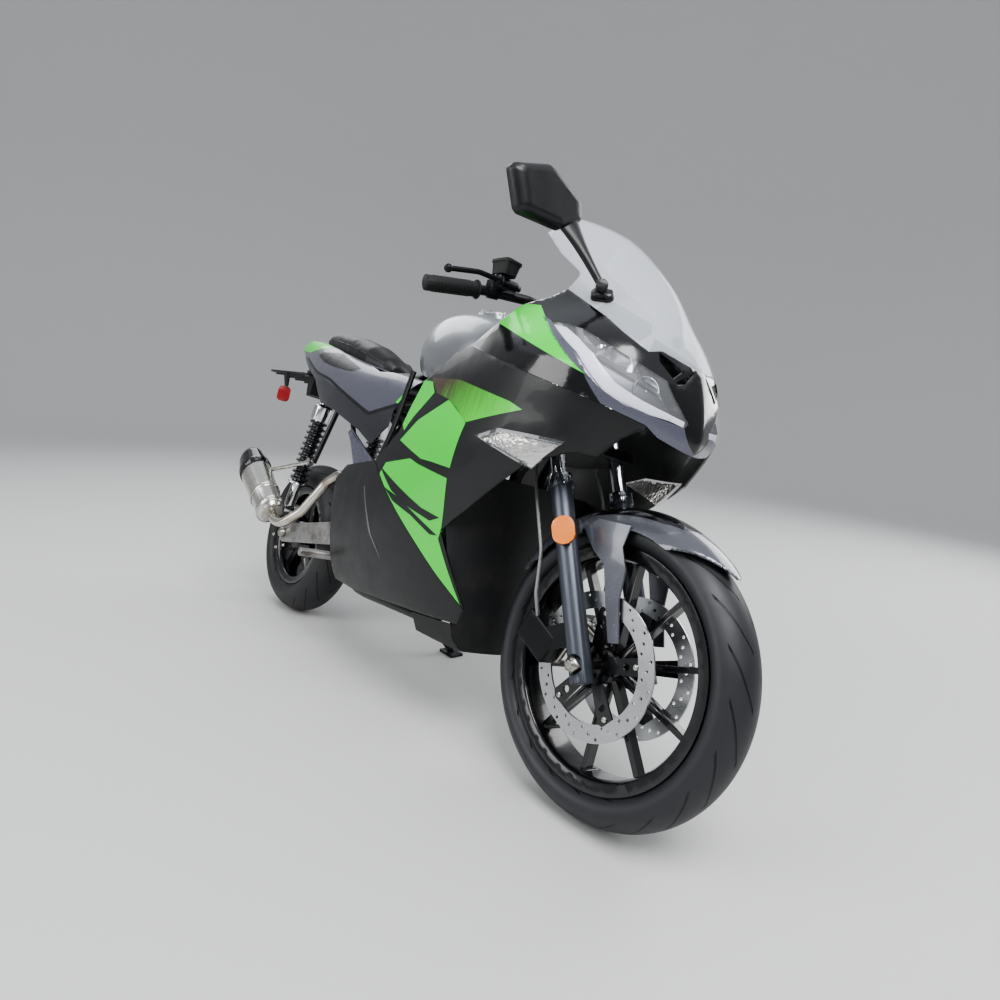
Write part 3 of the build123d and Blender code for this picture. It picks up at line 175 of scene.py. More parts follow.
@dataclass(frozen=True)
class Finish:
    """One real material with its surface.

    Attributes:
        name: The material's common name.
        colour: sRGB hex of the surface.
        metallic: 1 for a bare metal.
        roughness: Of the main layer.
        ior: Of a dielectric; a metal keeps the default.
        coat: Weight of a clear coat.
        grain: The fine relief.
        size_mm: The relief's pattern size.
        depth: The relief's strength, from 0 to 1.
        wear: How much the roughness varies over a hand's width.
        dirt: sRGB hex of the dust that lies in patches, or none.
    """

    name: str
    colour: str
    metallic: float = 0.0
    roughness: float = 0.5
    ior: float = 1.5
    coat: float = 0.0
    grain: Grain = Grain.NONE
    size_mm: float = 1.0
    depth: float = 0.1
    wear: float = 0.08
    dirt: str | None = None

    def relief(self, tree: bpy.types.NodeTree, place: bpy.types.NodeSocket) -> bpy.types.NodeSocket | None:
        """The height pattern of the surface, or none.

        Args:
            tree: The material's node tree.
            place: Coordinates in millimetres.

        Returns:
            A height socket, or none for a smooth surface.
        """
        if self.grain is Grain.NONE:
            return None
        stretch = (1, 1, 14) if self.grain is Grain.BRUSHED else (1, 1, 1)
        scale = tuple(s / self.size_mm for s in stretch)
        scaled = add_node(tree, "Mapping", {"Vector": place, "Scale": scale})
        if self.grain is Grain.LEATHER:
            cells = add_node(tree, "TexVoronoi", {"Vector": scaled.outputs[0], "Scale": 1.0},
                             feature="DISTANCE_TO_EDGE")
            return cells.outputs["Distance"]
        detail = 4.0 if self.grain is Grain.CAST else 2.0  # sand leaves finer pits inside the coarse ones
        noise = add_node(tree, "TexNoise", {"Vector": scaled.outputs[0], "Scale": 1.0, "Detail": detail})
        return noise.outputs["Fac"]

    def shade(self, tree: bpy.types.NodeTree, place: bpy.types.NodeSocket) -> bpy.types.Node:
        """Builds the surface shader.

        Args:
            tree: The material's node tree.
            place: Coordinates in millimetres.

        Returns:
            The shader node.
        """
        shader = add_node(tree, "BsdfPrincipled", {
            "Base Color": linear(self.colour), "Metallic": self.metallic, "Roughness": self.roughness,
            "Coat Weight": self.coat, "Coat Roughness": 0.04,
        })
        if not self.metallic:
            shader.inputs["IOR"].default_value = self.ior
        if self.wear:
            # Handling leaves patches about 55 mm across.
            patches = add_node(tree, "TexNoise", {
                "Vector": place, "Scale": 0.018, "Detail": 5.0, "Roughness": 0.6}).outputs["Fac"]
            low, high = max(self.roughness - self.wear, 0.02), min(self.roughness + self.wear, 1.0)
            rough = add_node(tree, "MapRange", {
                "Value": patches, "From Min": 0.25, "From Max": 0.75, "To Min": low, "To Max": high})
            tree.links.new(rough.outputs[0], shader.inputs["Roughness"])
            if self.dirt:
                dust = add_node(tree, "MapRange", {"Value": patches, "From Min": 0.48, "From Max": 0.75})
                colours = {0: dust.outputs[0], 6: linear(self.colour), 7: linear(self.dirt)}
                mixed = add_node(tree, "Mix", colours, data_type="RGBA")
                tree.links.new(mixed.outputs[2], shader.inputs["Base Color"])
        height = self.relief(tree, place)
        if height:
            raised = {"Height": height, "Strength": self.depth, "Distance": self.size_mm / 1000}
            tree.links.new(add_node(tree, "Bump", raised).outputs[0], shader.inputs["Normal"])
        return shader

    def material(self) -> bpy.types.Material:
        """Makes the Blender material, or finds it when it is already made.

        Returns:
            The material.
        """
        found = bpy.data.materials.get(self.name)
        if found:
            return found
        made = bpy.data.materials.new(self.name)
        made.use_nodes = True
        tree = made.node_tree
        tree.nodes.clear()
        shader = self.shade(tree, upright_coordinates(tree))
        add_node(tree, "OutputMaterial", {"Surface": shader.outputs[0]})
        made.diffuse_color = linear(self.colour)
        return made


# ---- modelling -----------------------------------------------------------------------------------
def alone(piece: bpy.types.Object) -> None:
    """Makes a piece the only selected and active object.

    Args:
        piece: The object.
    """
    bpy.ops.object.select_all(action="DESELECT")
    piece.select_set(True)
    bpy.context.view_layer.objects.active = piece


def linked(name: str, data: bpy.types.ID) -> bpy.types.Object:
    """Makes an object and puts it in the scene.

    Args:
        name: The object's name.
        data: Its mesh, curve, light or camera.

    Returns:
        The new object.
    """
    made = bpy.data.objects.new(name, data)
    bpy.context.scene.collection.objects.link(made)
    return made


@contextmanager
def editing(piece: bpy.types.Object) -> Iterator[None]:
    """Opens a piece in edit mode with all of it selected, and closes it afterwards.

    Args:
        piece: The object.

    Yields:
        Nothing; the piece stays in edit mode inside the block.
    """
    alone(piece)
    bpy.ops.object.mode_set(mode="EDIT")
    bpy.ops.mesh.select_all(action="SELECT")
    yield
    bpy.ops.object.mode_set(mode="OBJECT")


def applied(piece: bpy.types.Object, kind: str, **settings: object) -> bpy.types.Object:
    """Adds a modifier and applies it.

    Args:
        piece: The object.
        kind: The modifier's type.
        settings: Its attributes.

    Returns:
        The same object.
    """
    alone(piece)
    modifier = piece.modifiers.new(kind.lower(), kind)
    for name, value in settings.items():
        setattr(modifier, name, value)
    bpy.ops.object.modifier_apply(modifier=modifier.name)
    return piece


def smooth(piece: bpy.types.Object, degrees: float = 35.0) -> bpy.types.Object:
    """Shades a piece smooth, but for its sharp edges.

    Args:
        piece: The object.
        degrees: Angle from which an edge stays sharp.

    Returns:
        The same object.
    """
    alone(piece)
    bpy.ops.object.shade_smooth_by_angle(angle=math.radians(degrees))
    return piece


def evened(piece: bpy.types.Object) -> bpy.types.Object:
    """Weights a smooth piece's normals by face size, so that slender faces leave no streaks."""
    return applied(piece, "WEIGHTED_NORMAL", weight=90, keep_sharp=True)


def settled(piece: bpy.types.Object, name: str, body: str, finish: Finish) -> bpy.types.Object:
    """Puts a piece made in the upright machine's millimetres in the row and dresses it.

    Args:
        piece: The object, in millimetres.
        name: Its name in the model.
        body: The body that it moves with.
        finish: Its material.

    Returns:
        The same object.
    """
    alone(piece)
    bpy.ops.object.transform_apply(location=True, rotation=True, scale=True)
    piece.data.transform(Upright.matrix())
    piece.name = piece.data.name = name
    return dressed(piece, body, finish)


def dressed(piece: bpy.types.Object, body: str, finish: Finish) -> bpy.types.Object:
    """Gives a piece in its place a material and a body.

    Args:
        piece: The object, in its place in the row.
        body: The body that it moves with.
        finish: Its material.

    Returns:
        The same object.
    """
    piece.data.materials.clear()
    piece.data.materials.append(finish.material())
    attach(piece, body)
    log.info("%s: %s, %d faces", piece.name, finish.name, len(piece.data.polygons))
    return piece


def joined(pieces: list[bpy.types.Object]) -> bpy.types.Object:
    """Joins pieces into the first one.

    Args:
        pieces: The objects.

    Returns:
        The first object.
    """
    alone(pieces[0])
    for piece in pieces[1:]:
        piece.select_set(True)
    bpy.ops.object.join()
    return pieces[0]


def block(centre: Vector, size: tuple[float, float, float], bevel: float, turn: Matrix) -> bpy.types.Object:
    """A box with rounded edges.

    Args:
        centre: Its middle, mm.
        size: Its three sides, mm.
        bevel: Radius of its edges, mm.
        turn: Its rotation.

    Returns:
        The new object.
    """
    bpy.ops.mesh.primitive_cube_add(size=1.0)
    piece = bpy.context.object
    piece.scale = size
    bpy.ops.object.transform_apply(location=True, rotation=True, scale=True)
    applied(piece, "BEVEL", width=bevel, segments=3, limit_method="ANGLE")
    piece.data.transform(Matrix.Translation(centre) @ turn.to_4x4())
    return smooth(piece, 40)


def tube(points: list[Vector], radius: float, sides: int, smoothness: int) -> bpy.types.Object:
    """A round tube along a smooth path, with closed ends.

    Args:
        points: The path's points, mm.
        radius: In millimetres.
        sides: Faces round it.
        smoothness: Steps between two points.

    Returns:
        The new object.
    """
    curve = bpy.data.curves.new("path", "CURVE")
    curve.dimensions = "3D"
    curve.bevel_depth, curve.bevel_resolution = radius, max(0, sides // 4 - 1)
    curve.resolution_u, curve.use_fill_caps = smoothness, True
    spline = curve.splines.new("BEZIER")
    spline.bezier_points.add(len(points) - 1)
    for knot, place in zip(spline.bezier_points, points):
        knot.co = place
        knot.handle_left_type = knot.handle_right_type = "AUTO"
    alone(linked("path", curve))
    bpy.ops.object.convert(target="MESH")
    return smooth(bpy.context.object, 60)


def fair_copy(node: bpy.types.Object, name: str) -> bpy.types.Object:
    """A copy of a CAD node's mesh with its points merged, so that it can be shaded smooth and worked on.

    Args:
        node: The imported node, which is left as it is.
        name: The copy's name.

    Returns:
        The copy.
    """
    piece = linked(name, node.data.copy())
    with editing(piece):
        bpy.ops.mesh.remove_doubles(threshold=MERGE)
    return piece


def turned(profile: list[tuple[float, float]], centre: tuple, along: tuple, sides: int) -> bpy.types.Object:
    """A round piece spun from half of its section.

    Args:
        profile: Points (distance along the axis, radius), mm.
        centre: Where the axis starts, mm.
        along: The axis's direction.
        sides: Faces round it.

    Returns:
        The new object.
    """
    data = bpy.data.meshes.new("turned")
    data.from_pydata([(r, 0, h) for h, r in profile], [(i, i + 1) for i in range(len(profile) - 1)], [])
    piece = linked("turned", data)
    with editing(piece):
        bpy.ops.mesh.spin(steps=sides, angle=2 * math.pi, center=(0, 0, 0), axis=(0, 0, 1))
        bpy.ops.mesh.select_all(action="SELECT")
        bpy.ops.mesh.remove_doubles(threshold=0.001)
        bpy.ops.mesh.normals_make_consistent(inside=False)
    data.transform(Matrix.Translation(centre) @ Vector(along).to_track_quat("Z", "Y").to_matrix().to_4x4())
    return smooth(piece, 40)


class View(Enum):
    """The plane that an outline is drawn in, as two axes, and the way out of the surface that it marks."""

    RIGHT = (0, 2, (0, -1, 0))
    LEFT = (0, 2, (0, 1, 0))
    TOP = (0, 1, (0, 0, 1))


def inside(outline: list[tuple[float, float]], u: float, v: float) -> bool:
    """Whether a point lies inside a closed outline.

    Args:
        outline: The outline's corners in order.
        u: The point's first coordinate.
        v: The point's second coordinate.

    Returns:
        True inside.
    """
    crossings = 0
    for (u0, v0), (u1, v1) in zip(outline, outline[1:] + outline[:1]):
        if (v0 > v) != (v1 > v) and u < u0 + (v - v0) * (u1 - u0) / (v1 - v0):
            crossings += 1
    return crossings % 2 == 1


def cut_out(
    piece: bpy.types.Object, outline: list[tuple[float, float]], view: View, lift: float
) -> bpy.types.Object:
    """Keeps the outer faces of a shell inside an outline, lifted a little off it.

    Args:
        piece: The object, in its place in the row.
        outline: Corners in the view's two axes of the upright machine, in order, mm.
        view: The plane of the outline.
        lift: How far the skin stands off, mm.

    Returns:
        The same object.
    """
    first, second, way = view.value
    back, turn = Upright.matrix().inverted(), Upright.turn()
    out, up = turn @ Vector(way), turn @ Vector((0, 0, 1))
    with editing(piece):
        for start, end in zip(outline, outline[1:] + outline[:1]):
            corner, across = Vector((0, 0, 0)), Vector((0, 0, 0))
            corner[first], corner[second] = start
            across[first], across[second] = end[1] - start[1], start[0] - end[0]
            bpy.ops.mesh.select_all(action="SELECT")
            bpy.ops.mesh.bisect(
                plane_co=Upright.point(*corner), plane_no=turn @ across.normalized(), threshold=1e-7)
        shape = bmesh.from_edit_mesh(piece.data)
        for face in shape.faces:
            place = back @ face.calc_center_median()
            outward, upward = face.normal.dot(out), face.normal.dot(up)
            # The inner wall's faces look inward; a nearly level face on top counts as an outer one.
            looks_out = outward > 0.12 or (upward > 0.3 and outward > -0.05)
            this_side = place.dot(Vector(way)) > -1
            face.select = not (looks_out and this_side and inside(outline, place[first], place[second]))
        bmesh.update_edit_mesh(piece.data)
        bpy.ops.mesh.delete(type="FACE")
        bpy.ops.mesh.select_all(action="SELECT")
        bpy.ops.transform.shrink_fatten(value=lift / 1000)
    return piece


def two_tone(piece: bpy.types.Object, finish: Finish, chosen: Callable[[Vector], bool]) -> None:
    """Gives the faces of a dressed piece whose middles are chosen a second finish.

    Args:
        piece: The object, in its place in the row.
        finish: The second material.
        chosen: Tells from a point of the upright machine whether it has the second material.
    """
    back = Upright.matrix().inverted()
    piece.data.materials.append(finish.material())
    number = len(piece.data.materials) - 1
    for face in piece.data.polygons:
        if chosen(back @ face.center):
            face.material_index = number


# ---- finishes ------------------------------------------------------------------------------------
# A relief's size is in millimetres from crest to crest. Orange peel, grit and brushed lines are finer on the
# real thing, and are drawn as coarse as they need to show.
PEEL: dict = {"grain": Grain.PEEL, "size_mm": 1.4}

# Lacquered ABS: deep black with sharp reflections that waver over the orange peel.
GLOSS_BLACK = Finish("sprayed_abs_black", "0b0b0d", roughness=0.16, coat=0.6, depth=0.04, **PEEL)
# The same plastic under matt lacquer: wide soft highlights that show the panel's creases.
SATIN_BLACK = Finish(
    "sprayed_abs_satin_black", "0b0c0e", roughness=0.4, coat=0.12, grain=Grain.PEEL, size_mm=1.2, depth=0.05)
# Metallic paints: the flake brightens where the panel turns to the light and darkens where it turns away.
# The tail's dark satin paint drawn lilac grey: a painted reflection of the pale sky over its upper side.
TAIL_SKY_SHEEN = Finish(
    "sprayed_abs_painted_sky_sheen", "595a66", metallic=0.35, roughness=0.34, coat=0.5, depth=0.04, **PEEL)
VIOLET_GREY = Finish("sprayed_abs_violet_grey", "5c5d6a", metallic=0.3, roughness=0.28, coat=0.5)
# The tail's lower band: the same paint drawn darker than the upper side, as painted shade where less light
# falls.
TAIL_SHADE_GREY = Finish("sprayed_abs_painted_shade_grey", "2f3036", metallic=0.3, roughness=0.36, coat=0.3)
FENDER_GREY = Finish("sprayed_abs_steel_grey", "5e6067", metallic=0.45, roughness=0.24, coat=0.6)
TANK_SILVER = Finish(
    "sprayed_steel_silver", "8f9296", metallic=0.7, roughness=0.3, coat=0.5, grain=Grain.PEEL, size_mm=1.2,
    depth=0.02, wear=0.03)
# Plain lacquer colours: even and clean, with a soft sheen.
NOSE_SILVER = Finish("moulded_abs_pale_lilac", "d9dbe8", roughness=0.3, coat=0.5)
VIVID_GREEN = Finish("sprayed_abs_green", "3fcf3a", roughness=0.34, coat=0.5, depth=0.03, **PEEL)
# Unpainted polypropylene: a dull pebbled black with dust in its hollows.
MOULDED_BLACK = Finish(
    "moulded_polypropylene_black", "17181a", roughness=0.58, grain=Grain.MOULDED, size_mm=0.8, depth=0.25,
    dirt="2a2926")
# Powder coat: a fine even texture that blurs every highlight a little.
FRAME_BLACK = Finish(
    "powder_coated_steel_black", "0e0e10", roughness=0.36, grain=Grain.PEEL, size_mm=0.8, depth=0.15)
# Painted casting: gloss that breaks up on the sand's grain below it.
RIM_BLACK = Finish(
    "painted_cast_alloy_black", "101013", roughness=0.22, coat=0.4, grain=Grain.CAST, size_mm=0.9, depth=0.05)
# Soft rubber: almost no highlight.
GRIP = Finish("grip_rubber_black", "131416", roughness=0.7, grain=Grain.MOULDED, size_mm=1.0, depth=0.3)
# Ground and brushed metals: highlights drawn out across fine parallel lines.
DISC = Finish(
    "ground_stainless_steel", "b4b6b8", metallic=1.0, roughness=0.3, grain=Grain.BRUSHED, size_mm=0.6,
    depth=0.08)
SLIDER = Finish(
    "anodised_alloy_blue_grey", "50545c", metallic=0.7, roughness=0.36, grain=Grain.BRUSHED, size_mm=0.5,
    depth=0.05)
SILENCER = Finish(
    "brushed_stainless_steel", "cfcdc8", metallic=1.0, roughness=0.27, grain=Grain.BRUSHED, size_mm=0.5,
    depth=0.1)
# Plated and polished metals: a clear picture of the room, dulled by road dirt on the pipe.
CHROME = Finish("chromed_steel", "d6d8da", metallic=1.0, roughness=0.08, wear=0.03)
PIPE = Finish("heat_tinted_stainless_steel", "d3d0c8", metallic=1.0, roughness=0.2, dirt="8a7350")
# Bare sand casting: pitted pale grey with brown dirt in patches.
CAST = Finish(
    "sand_cast_alloy", "adacab", metallic=0.9, roughness=0.42, grain=Grain.CAST, size_mm=1.2, depth=0.3,
    dirt="5b554a")
# Anodised and oxidised parts: dark metal with a broad grey sheen.
BLACK_ALLOY = Finish(
    "black_anodised_alloy", "15161a", metallic=0.5, roughness=0.38, grain=Grain.CAST, size_mm=0.8, depth=0.1)
DARK_BOLT = Finish("black_oxide_bolt", "1d1d20", metallic=0.7, roughness=0.4)
# Zinc plating: a slightly warm, milky metal.
ZINC = Finish("zinc_plated_steel", "a8a79f", metallic=1.0, roughness=0.33, dirt="6f675a")
BOLT = Finish("zinc_plated_bolt", "c2c1bb", metallic=1.0, roughness=0.28)
# Embossed vinyl: leather-like cells with a low sheen.
VINYL = Finish("embossed_vinyl_black", "0e0f11", roughness=0.46, grain=Grain.LEATHER, size_mm=1.1, depth=0.12)
# Acrylic lenses: glossy colour over small prisms.
AMBER = Finish(
    "moulded_acrylic_amber", "d97a2c", roughness=0.12, coat=0.6, grain=Grain.LEATHER, size_mm=2.4, depth=0.35)
RED_LENS = Finish(
    "moulded_acrylic_red", "8f1418", roughness=0.12, coat=0.6, grain=Grain.LEATHER, size_mm=2.4, depth=0.35)
# Silvered surfaces: mirror-bright, and broken into facets of 11 mm in the indicators.
MIRROR = Finish("silvered_glass", "dfe3e8", metallic=1.0, roughness=0.03, wear=0.0)
BOWL = Finish("aluminised_reflector", "cdd0d6", metallic=1.0, roughness=0.12, wear=0.02)
FACETED = Finish(
    "facetted_reflector", "cfcdc8", metallic=1.0, roughness=0.2, grain=Grain.LEATHER, size_mm=11.0,
    depth=0.12)
# Inside of the lamps: a grey liner with a silky shine, and milky bulbs.
BOWL_GREY = Finish("moulded_abs_mid_grey", "54575f", metallic=0.5, roughness=0.3, wear=0.03)
BULB = Finish("frosted_bulb_glass", "f3efe2", roughness=0.2, coat=0.5)
# Display glass: black with one sharp reflection.
DIAL = Finish("dark_display_glass", "0a0d10", roughness=0.08, coat=0.8)
# Dipped epoxy: smooth gloss on the springs.
SPRING_BLACK = Finish("epoxy_coated_spring", "151518", roughness=0.3, coat=0.3)
# Steel braid: a glitter of crossing wires, drawn 0.9 mm apart.
BRAID = Finish(
    "braided_steel_hose", "8f9091", metallic=0.9, roughness=0.4, grain=Grain.LEATHER, size_mm=0.9, depth=0.5)


@dataclass(frozen=True)
class ClearFinish(Finish):
    """A transparent moulding, such as a lens or a screen.

    Attributes:
        body: Share of light that the tint keeps on the surface, from 0 to 1.
    """

    body: float = 0.15

    def shade(self, tree: bpy.types.NodeTree, place: bpy.types.NodeSocket) -> bpy.types.Node:
        """Builds a thin clear surface: what passes goes straight on, under a glossy coat."""
        return add_node(tree, "BsdfPrincipled", {
            "Base Color": linear(self.colour), "Roughness": self.roughness, "IOR": self.ior,
            "Coat Weight": 0.5, "Coat Roughness": 0.03, "Alpha": self.body,
        })


@dataclass(frozen=True)
class FadedFinish(Finish):
    """Paint that has faded to a dull brown at one end of its area.

    Attributes:
        faded: sRGB hex of the faded end.
        start: Place along the machine where the paint is wholly faded, mm, 737 mm above the ground.
        end: Place where it is wholly sound, mm.
    """

    faded: str = "3b2c1c"
    start: float = 850.0
    end: float = 1130.0

    def shade(self, tree: bpy.types.NodeTree, place: bpy.types.NodeSocket) -> bpy.types.Node:
        """Builds the paint with a streaked change from the faded end to the sound one.

        Args:
            tree: The material's node tree.
            place: Coordinates in millimetres.

        Returns:
            The shader node.
        """
        shader = super().shade(tree, place)
        # Streaks about 4 mm wide and 60 mm long run down the panel.
        drawn = add_node(tree, "Mapping", {"Vector": place, "Scale": (0.25, 0.05, 0.016)})
        streaks = add_node(tree, "TexNoise", {"Vector": drawn.outputs[0], "Scale": 1.0, "Detail": 4.0})
        ways = add_node(tree, "SeparateXYZ", {0: place})
        spread = add_node(tree, "Math", {0: streaks.outputs["Fac"], 1: 0.5}, operation="SUBTRACT")
        # They shift the change by up to 130 mm, and it leans 1.6 mm forward for each millimetre up.
        shifted = add_node(tree, "Math", {0: spread.outputs[0], 1: 260.0, 2: ways.outputs["X"]},
                           operation="MULTIPLY_ADD")
        lower = add_node(tree, "Math", {0: ways.outputs["Z"], 1: -1.6, 2: 1180.0}, operation="MULTIPLY_ADD")
        along = add_node(tree, "Math", {0: shifted.outputs[0], 1: lower.outputs[0]}, operation="ADD")
        reach = {"Value": along.outputs[0], "From Min": self.start, "From Max": self.end}
        fade = add_node(tree, "MapRange", reach)
        mixed = add_node(tree, "Mix", {0: fade.outputs[0], 6: linear(self.faded), 7: linear(self.colour)},
                         data_type="RGBA")
        tree.links.new(mixed.outputs[2], shader.inputs["Base Color"])
        return shader


@dataclass(frozen=True)
class TreadFinish(Finish):
    """Tyre rubber with curved grooves that sweep back from the middle of the tread.

    Attributes:
        axle: The wheel's centre in the upright machine, mm.
        grooves: How many go round one side.
        shoulder: Distance from the middle where the grooves end, mm.
    """

    axle: tuple[float, float, float] = (0.0, 0.0, 0.0)
    grooves: int = 22
    shoulder: float = 52.0

    def shade(self, tree: bpy.types.NodeTree, place: bpy.types.NodeSocket) -> bpy.types.Node:
        """Builds the rubber with its grooves, 6 mm wide and sunk, and painted near-black inside as painted
        shade.

        Args:
            tree: The material's node tree.
            place: Coordinates in millimetres.

        Returns:
            The shader node.
        """
        shader = super().shade(tree, place)
        ways = add_node(tree, "SeparateXYZ", {0: upright_coordinates(tree, self.axle)})
        angle = add_node(tree, "Math", {0: ways.outputs["X"], 1: ways.outputs["Z"]}, operation="ARCTAN2")
        off = add_node(tree, "Math", {0: ways.outputs["Y"]}, operation="ABSOLUTE").outputs[0]
        side = add_node(tree, "Math", {0: ways.outputs["Y"]}, operation="SIGN")
        # One turn holds a whole number of grooves. Each trails by 1.25 of a pitch from the middle to the
        # shoulder, and the two sides are half a pitch apart.
        pitches = self.grooves / (2 * math.pi)
        turns = add_node(tree, "Math", {0: angle.outputs[0], 1: pitches}, operation="MULTIPLY")
        sweep = add_node(tree, "Math", {0: off, 1: self.shoulder}, operation="DIVIDE")
        bent = add_node(tree, "Math", {0: sweep.outputs[0], 1: 1.5}, operation="POWER")
        trail = add_node(tree, "Math", {0: bent.outputs[0], 1: 1.25, 2: turns.outputs[0]},
                         operation="MULTIPLY_ADD")
        half = add_node(tree, "Math", {0: side.outputs[0], 1: 0.25, 2: trail.outputs[0]},
                        operation="MULTIPLY_ADD")
        part = add_node(tree, "Math", {0: half.outputs[0]}, operation="FRACT")
        middle = add_node(tree, "Math", {0: part.outputs[0], 1: 0.5}, operation="SUBTRACT")
        near = add_node(tree, "Math", {0: middle.outputs[0]}, operation="ABSOLUTE")
        groove = add_node(tree, "MapRange", {"Value": near.outputs[0], "From Min": 0.035, "From Max": 0.06})
        # No groove reaches the shoulder or the middle 8 mm on each side.
        edges = {"Value": off, "From Min": self.shoulder - 3, "From Max": self.shoulder}
        outer = add_node(tree, "MapRange", edges)
        inner = add_node(tree, "MapRange", {"Value": off, "From Min": 9.0, "From Max": 7.0})
        band = add_node(tree, "Math", {0: outer.outputs[0], 1: inner.outputs[0]}, operation="MAXIMUM")
        height = add_node(tree, "Math", {0: groove.outputs[0], 1: band.outputs[0]}, operation="MAXIMUM")
        bump = add_node(tree, "Bump", {"Height": height.outputs[0], "Strength": 1.0, "Distance": 0.005})
        tree.links.new(shader.inputs["Normal"].links[0].from_socket, bump.inputs["Normal"])
        tree.links.new(bump.outputs[0], shader.inputs["Normal"])
        dust = shader.inputs["Base Color"].links
        crown = dust[0].from_socket if dust else linear(self.colour)
        # Near-black in the grooves is painted shade in the sunk grooves, laid over the crown's own colour.
        groove_shade_colours = {0: height.outputs[0], 6: linear("020203"), 7: crown}
        mixed = add_node(tree, "Mix", groove_shade_colours, data_type="RGBA")
        tree.links.new(mixed.outputs[2], shader.inputs["Base Color"])
        return shader


# Sun-faded lacquer: green that turns brown in streaks.
FADED_GREEN = FadedFinish("sprayed_abs_green_faded", "4fc238", roughness=0.36, coat=0.3)
# Tyre rubber: a grey bloom over black, dusty at the rear.
FRONT_TREAD = TreadFinish(
    "front_tyre_rubber", "26272b", roughness=0.5, grain=Grain.MOULDED, size_mm=1.5, depth=0.1,
    axle=FRONT_AXLE, grooves=20, shoulder=46.0)
REAR_TREAD = TreadFinish(
    "rear_tyre_rubber", "232427", roughness=0.58, grain=Grain.MOULDED, size_mm=1.5, depth=0.1,
    dirt="33312e", axle=REAR_AXLE, grooves=18, shoulder=54.0)
# Polycarbonate: the screen has a milky tint, and the lenses are almost invisible but for their shine.
CLEAR_SCREEN = ClearFinish("clear_polycarbonate_screen", "dfe4ec", roughness=0.05, body=0.3)
CLEAR_LENS = ClearFinish("clear_polycarbonate_lens", "eef1f6", roughness=0.03, body=0.07)

# Each CAD node's finish, body and the angle in degrees up to which it is shaded smooth.
NODE_LOOKS: dict[str, tuple[Finish, str, float]] = {
    "front_tyre": (FRONT_TREAD, "front_wheel", 30), "rear_tyre": (REAR_TREAD, "rear_wheel", 30),
    "front_rim": (RIM_BLACK, "front_wheel", 35), "rear_rim": (RIM_BLACK, "rear_wheel", 35),
    "front_discs": (DISC, "front_wheel", 30), "fork_legs": (SLIDER, "steering", 35),
    "lower_yoke": (BLACK_ALLOY, "steering", 35), "upper_yoke": (BLACK_ALLOY, "steering", 35),
    "front_axle": (ZINC, "steering", 35), "front_calipers": (BLACK_ALLOY, "steering", 35),
    "front_fender": (FENDER_GREY, "steering", 40), "handlebar": (FRAME_BLACK, "steering", 40),
    "grips": (GRIP, "steering", 40), "brake_levers": (BLACK_ALLOY, "steering", 40),
    "brake_reservoir": (MOULDED_BLACK, "steering", 35), "upper_cowl": (GLOSS_BLACK, "chassis", 40),
    "side_fairings": (SATIN_BLACK, "chassis", 40), "lower_covers": (SATIN_BLACK, "chassis", 40),
    "belly_pan": (MOULDED_BLACK, "chassis", 40), "headlights": (CLEAR_LENS, "chassis", 40),
    "indicators": (CLEAR_LENS, "chassis", 40), "inner_wall": (MOULDED_BLACK, "chassis", 40),
    "windscreen": (CLEAR_SCREEN, "chassis", 50), "mirror_pads": (MOULDED_BLACK, "chassis", 35),
    "mirror_right": (SATIN_BLACK, "chassis", 35), "main_frame": (FRAME_BLACK, "chassis", 40),
    "fuel_tank": (TANK_SILVER, "chassis", 40), "filler_cap": (CAST, "filler_lid", 35),
    "tail_cowl": (TAIL_SKY_SHEEN, "chassis", 40), "number_plate_bracket": (MOULDED_BLACK, "chassis", 35),
    "engine_block": (CAST, "chassis", 35), "transmission_case": (CAST, "chassis", 35),
    "axle_arm": (CAST, "chassis", 35), "rear_axle": (ZINC, "chassis", 35),
    "rear_shocks": (CHROME, "chassis", 35), "silencer": (SILENCER, "chassis", 35),
    "exhaust_pipe": (PIPE, "chassis", 40),
    "footpegs": (CAST, "chassis", 35), "side_stand": (FRAME_BLACK, "side_stand_arm", 35),
    "fork_reflectors": (AMBER, "steering", 35), "brake_hose": (BRAID, "steering", 60),
    "rear_reflector": (RED_LENS, "chassis", 35), "instrument_panel": (MOULDED_BLACK, "chassis", 35),
    "tail_pillars": (SATIN_BLACK, "chassis", 40), "side_covers": (VIOLET_GREY, "chassis", 40),
}


def off_axle(point: Vector, axle: tuple[float, float, float]) -> float:
    """Distance of a point from a wheel's axis, mm."""
    return math.hypot(point.x - axle[0], point.z - axle[2])


def up_shock(point: Vector) -> float:
    """How far along a shock absorber a point is, mm."""
    low, top = Vector((22, 332)), Vector((88, 742))  # its eyes
    return (Vector((point.x, point.z)) - low).dot((top - low).normalized())


def up_fork(point: Vector) -> float:
    """How far along a fork leg a point is, from the front axle, mm."""
    return (point.z - FRONT_AXLE[2]) * math.cos(RAKE) - (point.x - FRONT_AXLE[0]) * math.sin(RAKE)


def down_silencer(point: Vector) -> float:
    """How far behind the silencer's front a point is, mm."""
    front, rear = Vector((85, -190, 312)), Vector((-165, -205, 457))
    return (point - front).dot((rear - front).normalized())


# Each CAD node that has a second finish, and the faces that get it.
SECOND_LOOKS: dict[str, tuple[Finish, Callable[[Vector], bool]]] = {
    "front_discs": (RIM_BLACK, lambda p: off_axle(p, FRONT_AXLE) < 104),  # the carriers
    "fork_legs": (CHROME, lambda p: up_fork(p) > 356),  # the stanchions above the sliders
    "rear_shocks": (SPRING_BLACK, lambda p: 98 < up_shock(p) < 300),  # the springs
    "silencer": (GLOSS_BLACK, lambda p: down_silencer(p) > 196),  # its rear end
    "front_calipers": (ZINC, lambda p: abs(p.y) < 56),  # the pads beside the discs
    "tail_cowl": (VIVID_GREEN, lambda p: p.x < -90 and p.z > 880),  # the wall under the green tip
}


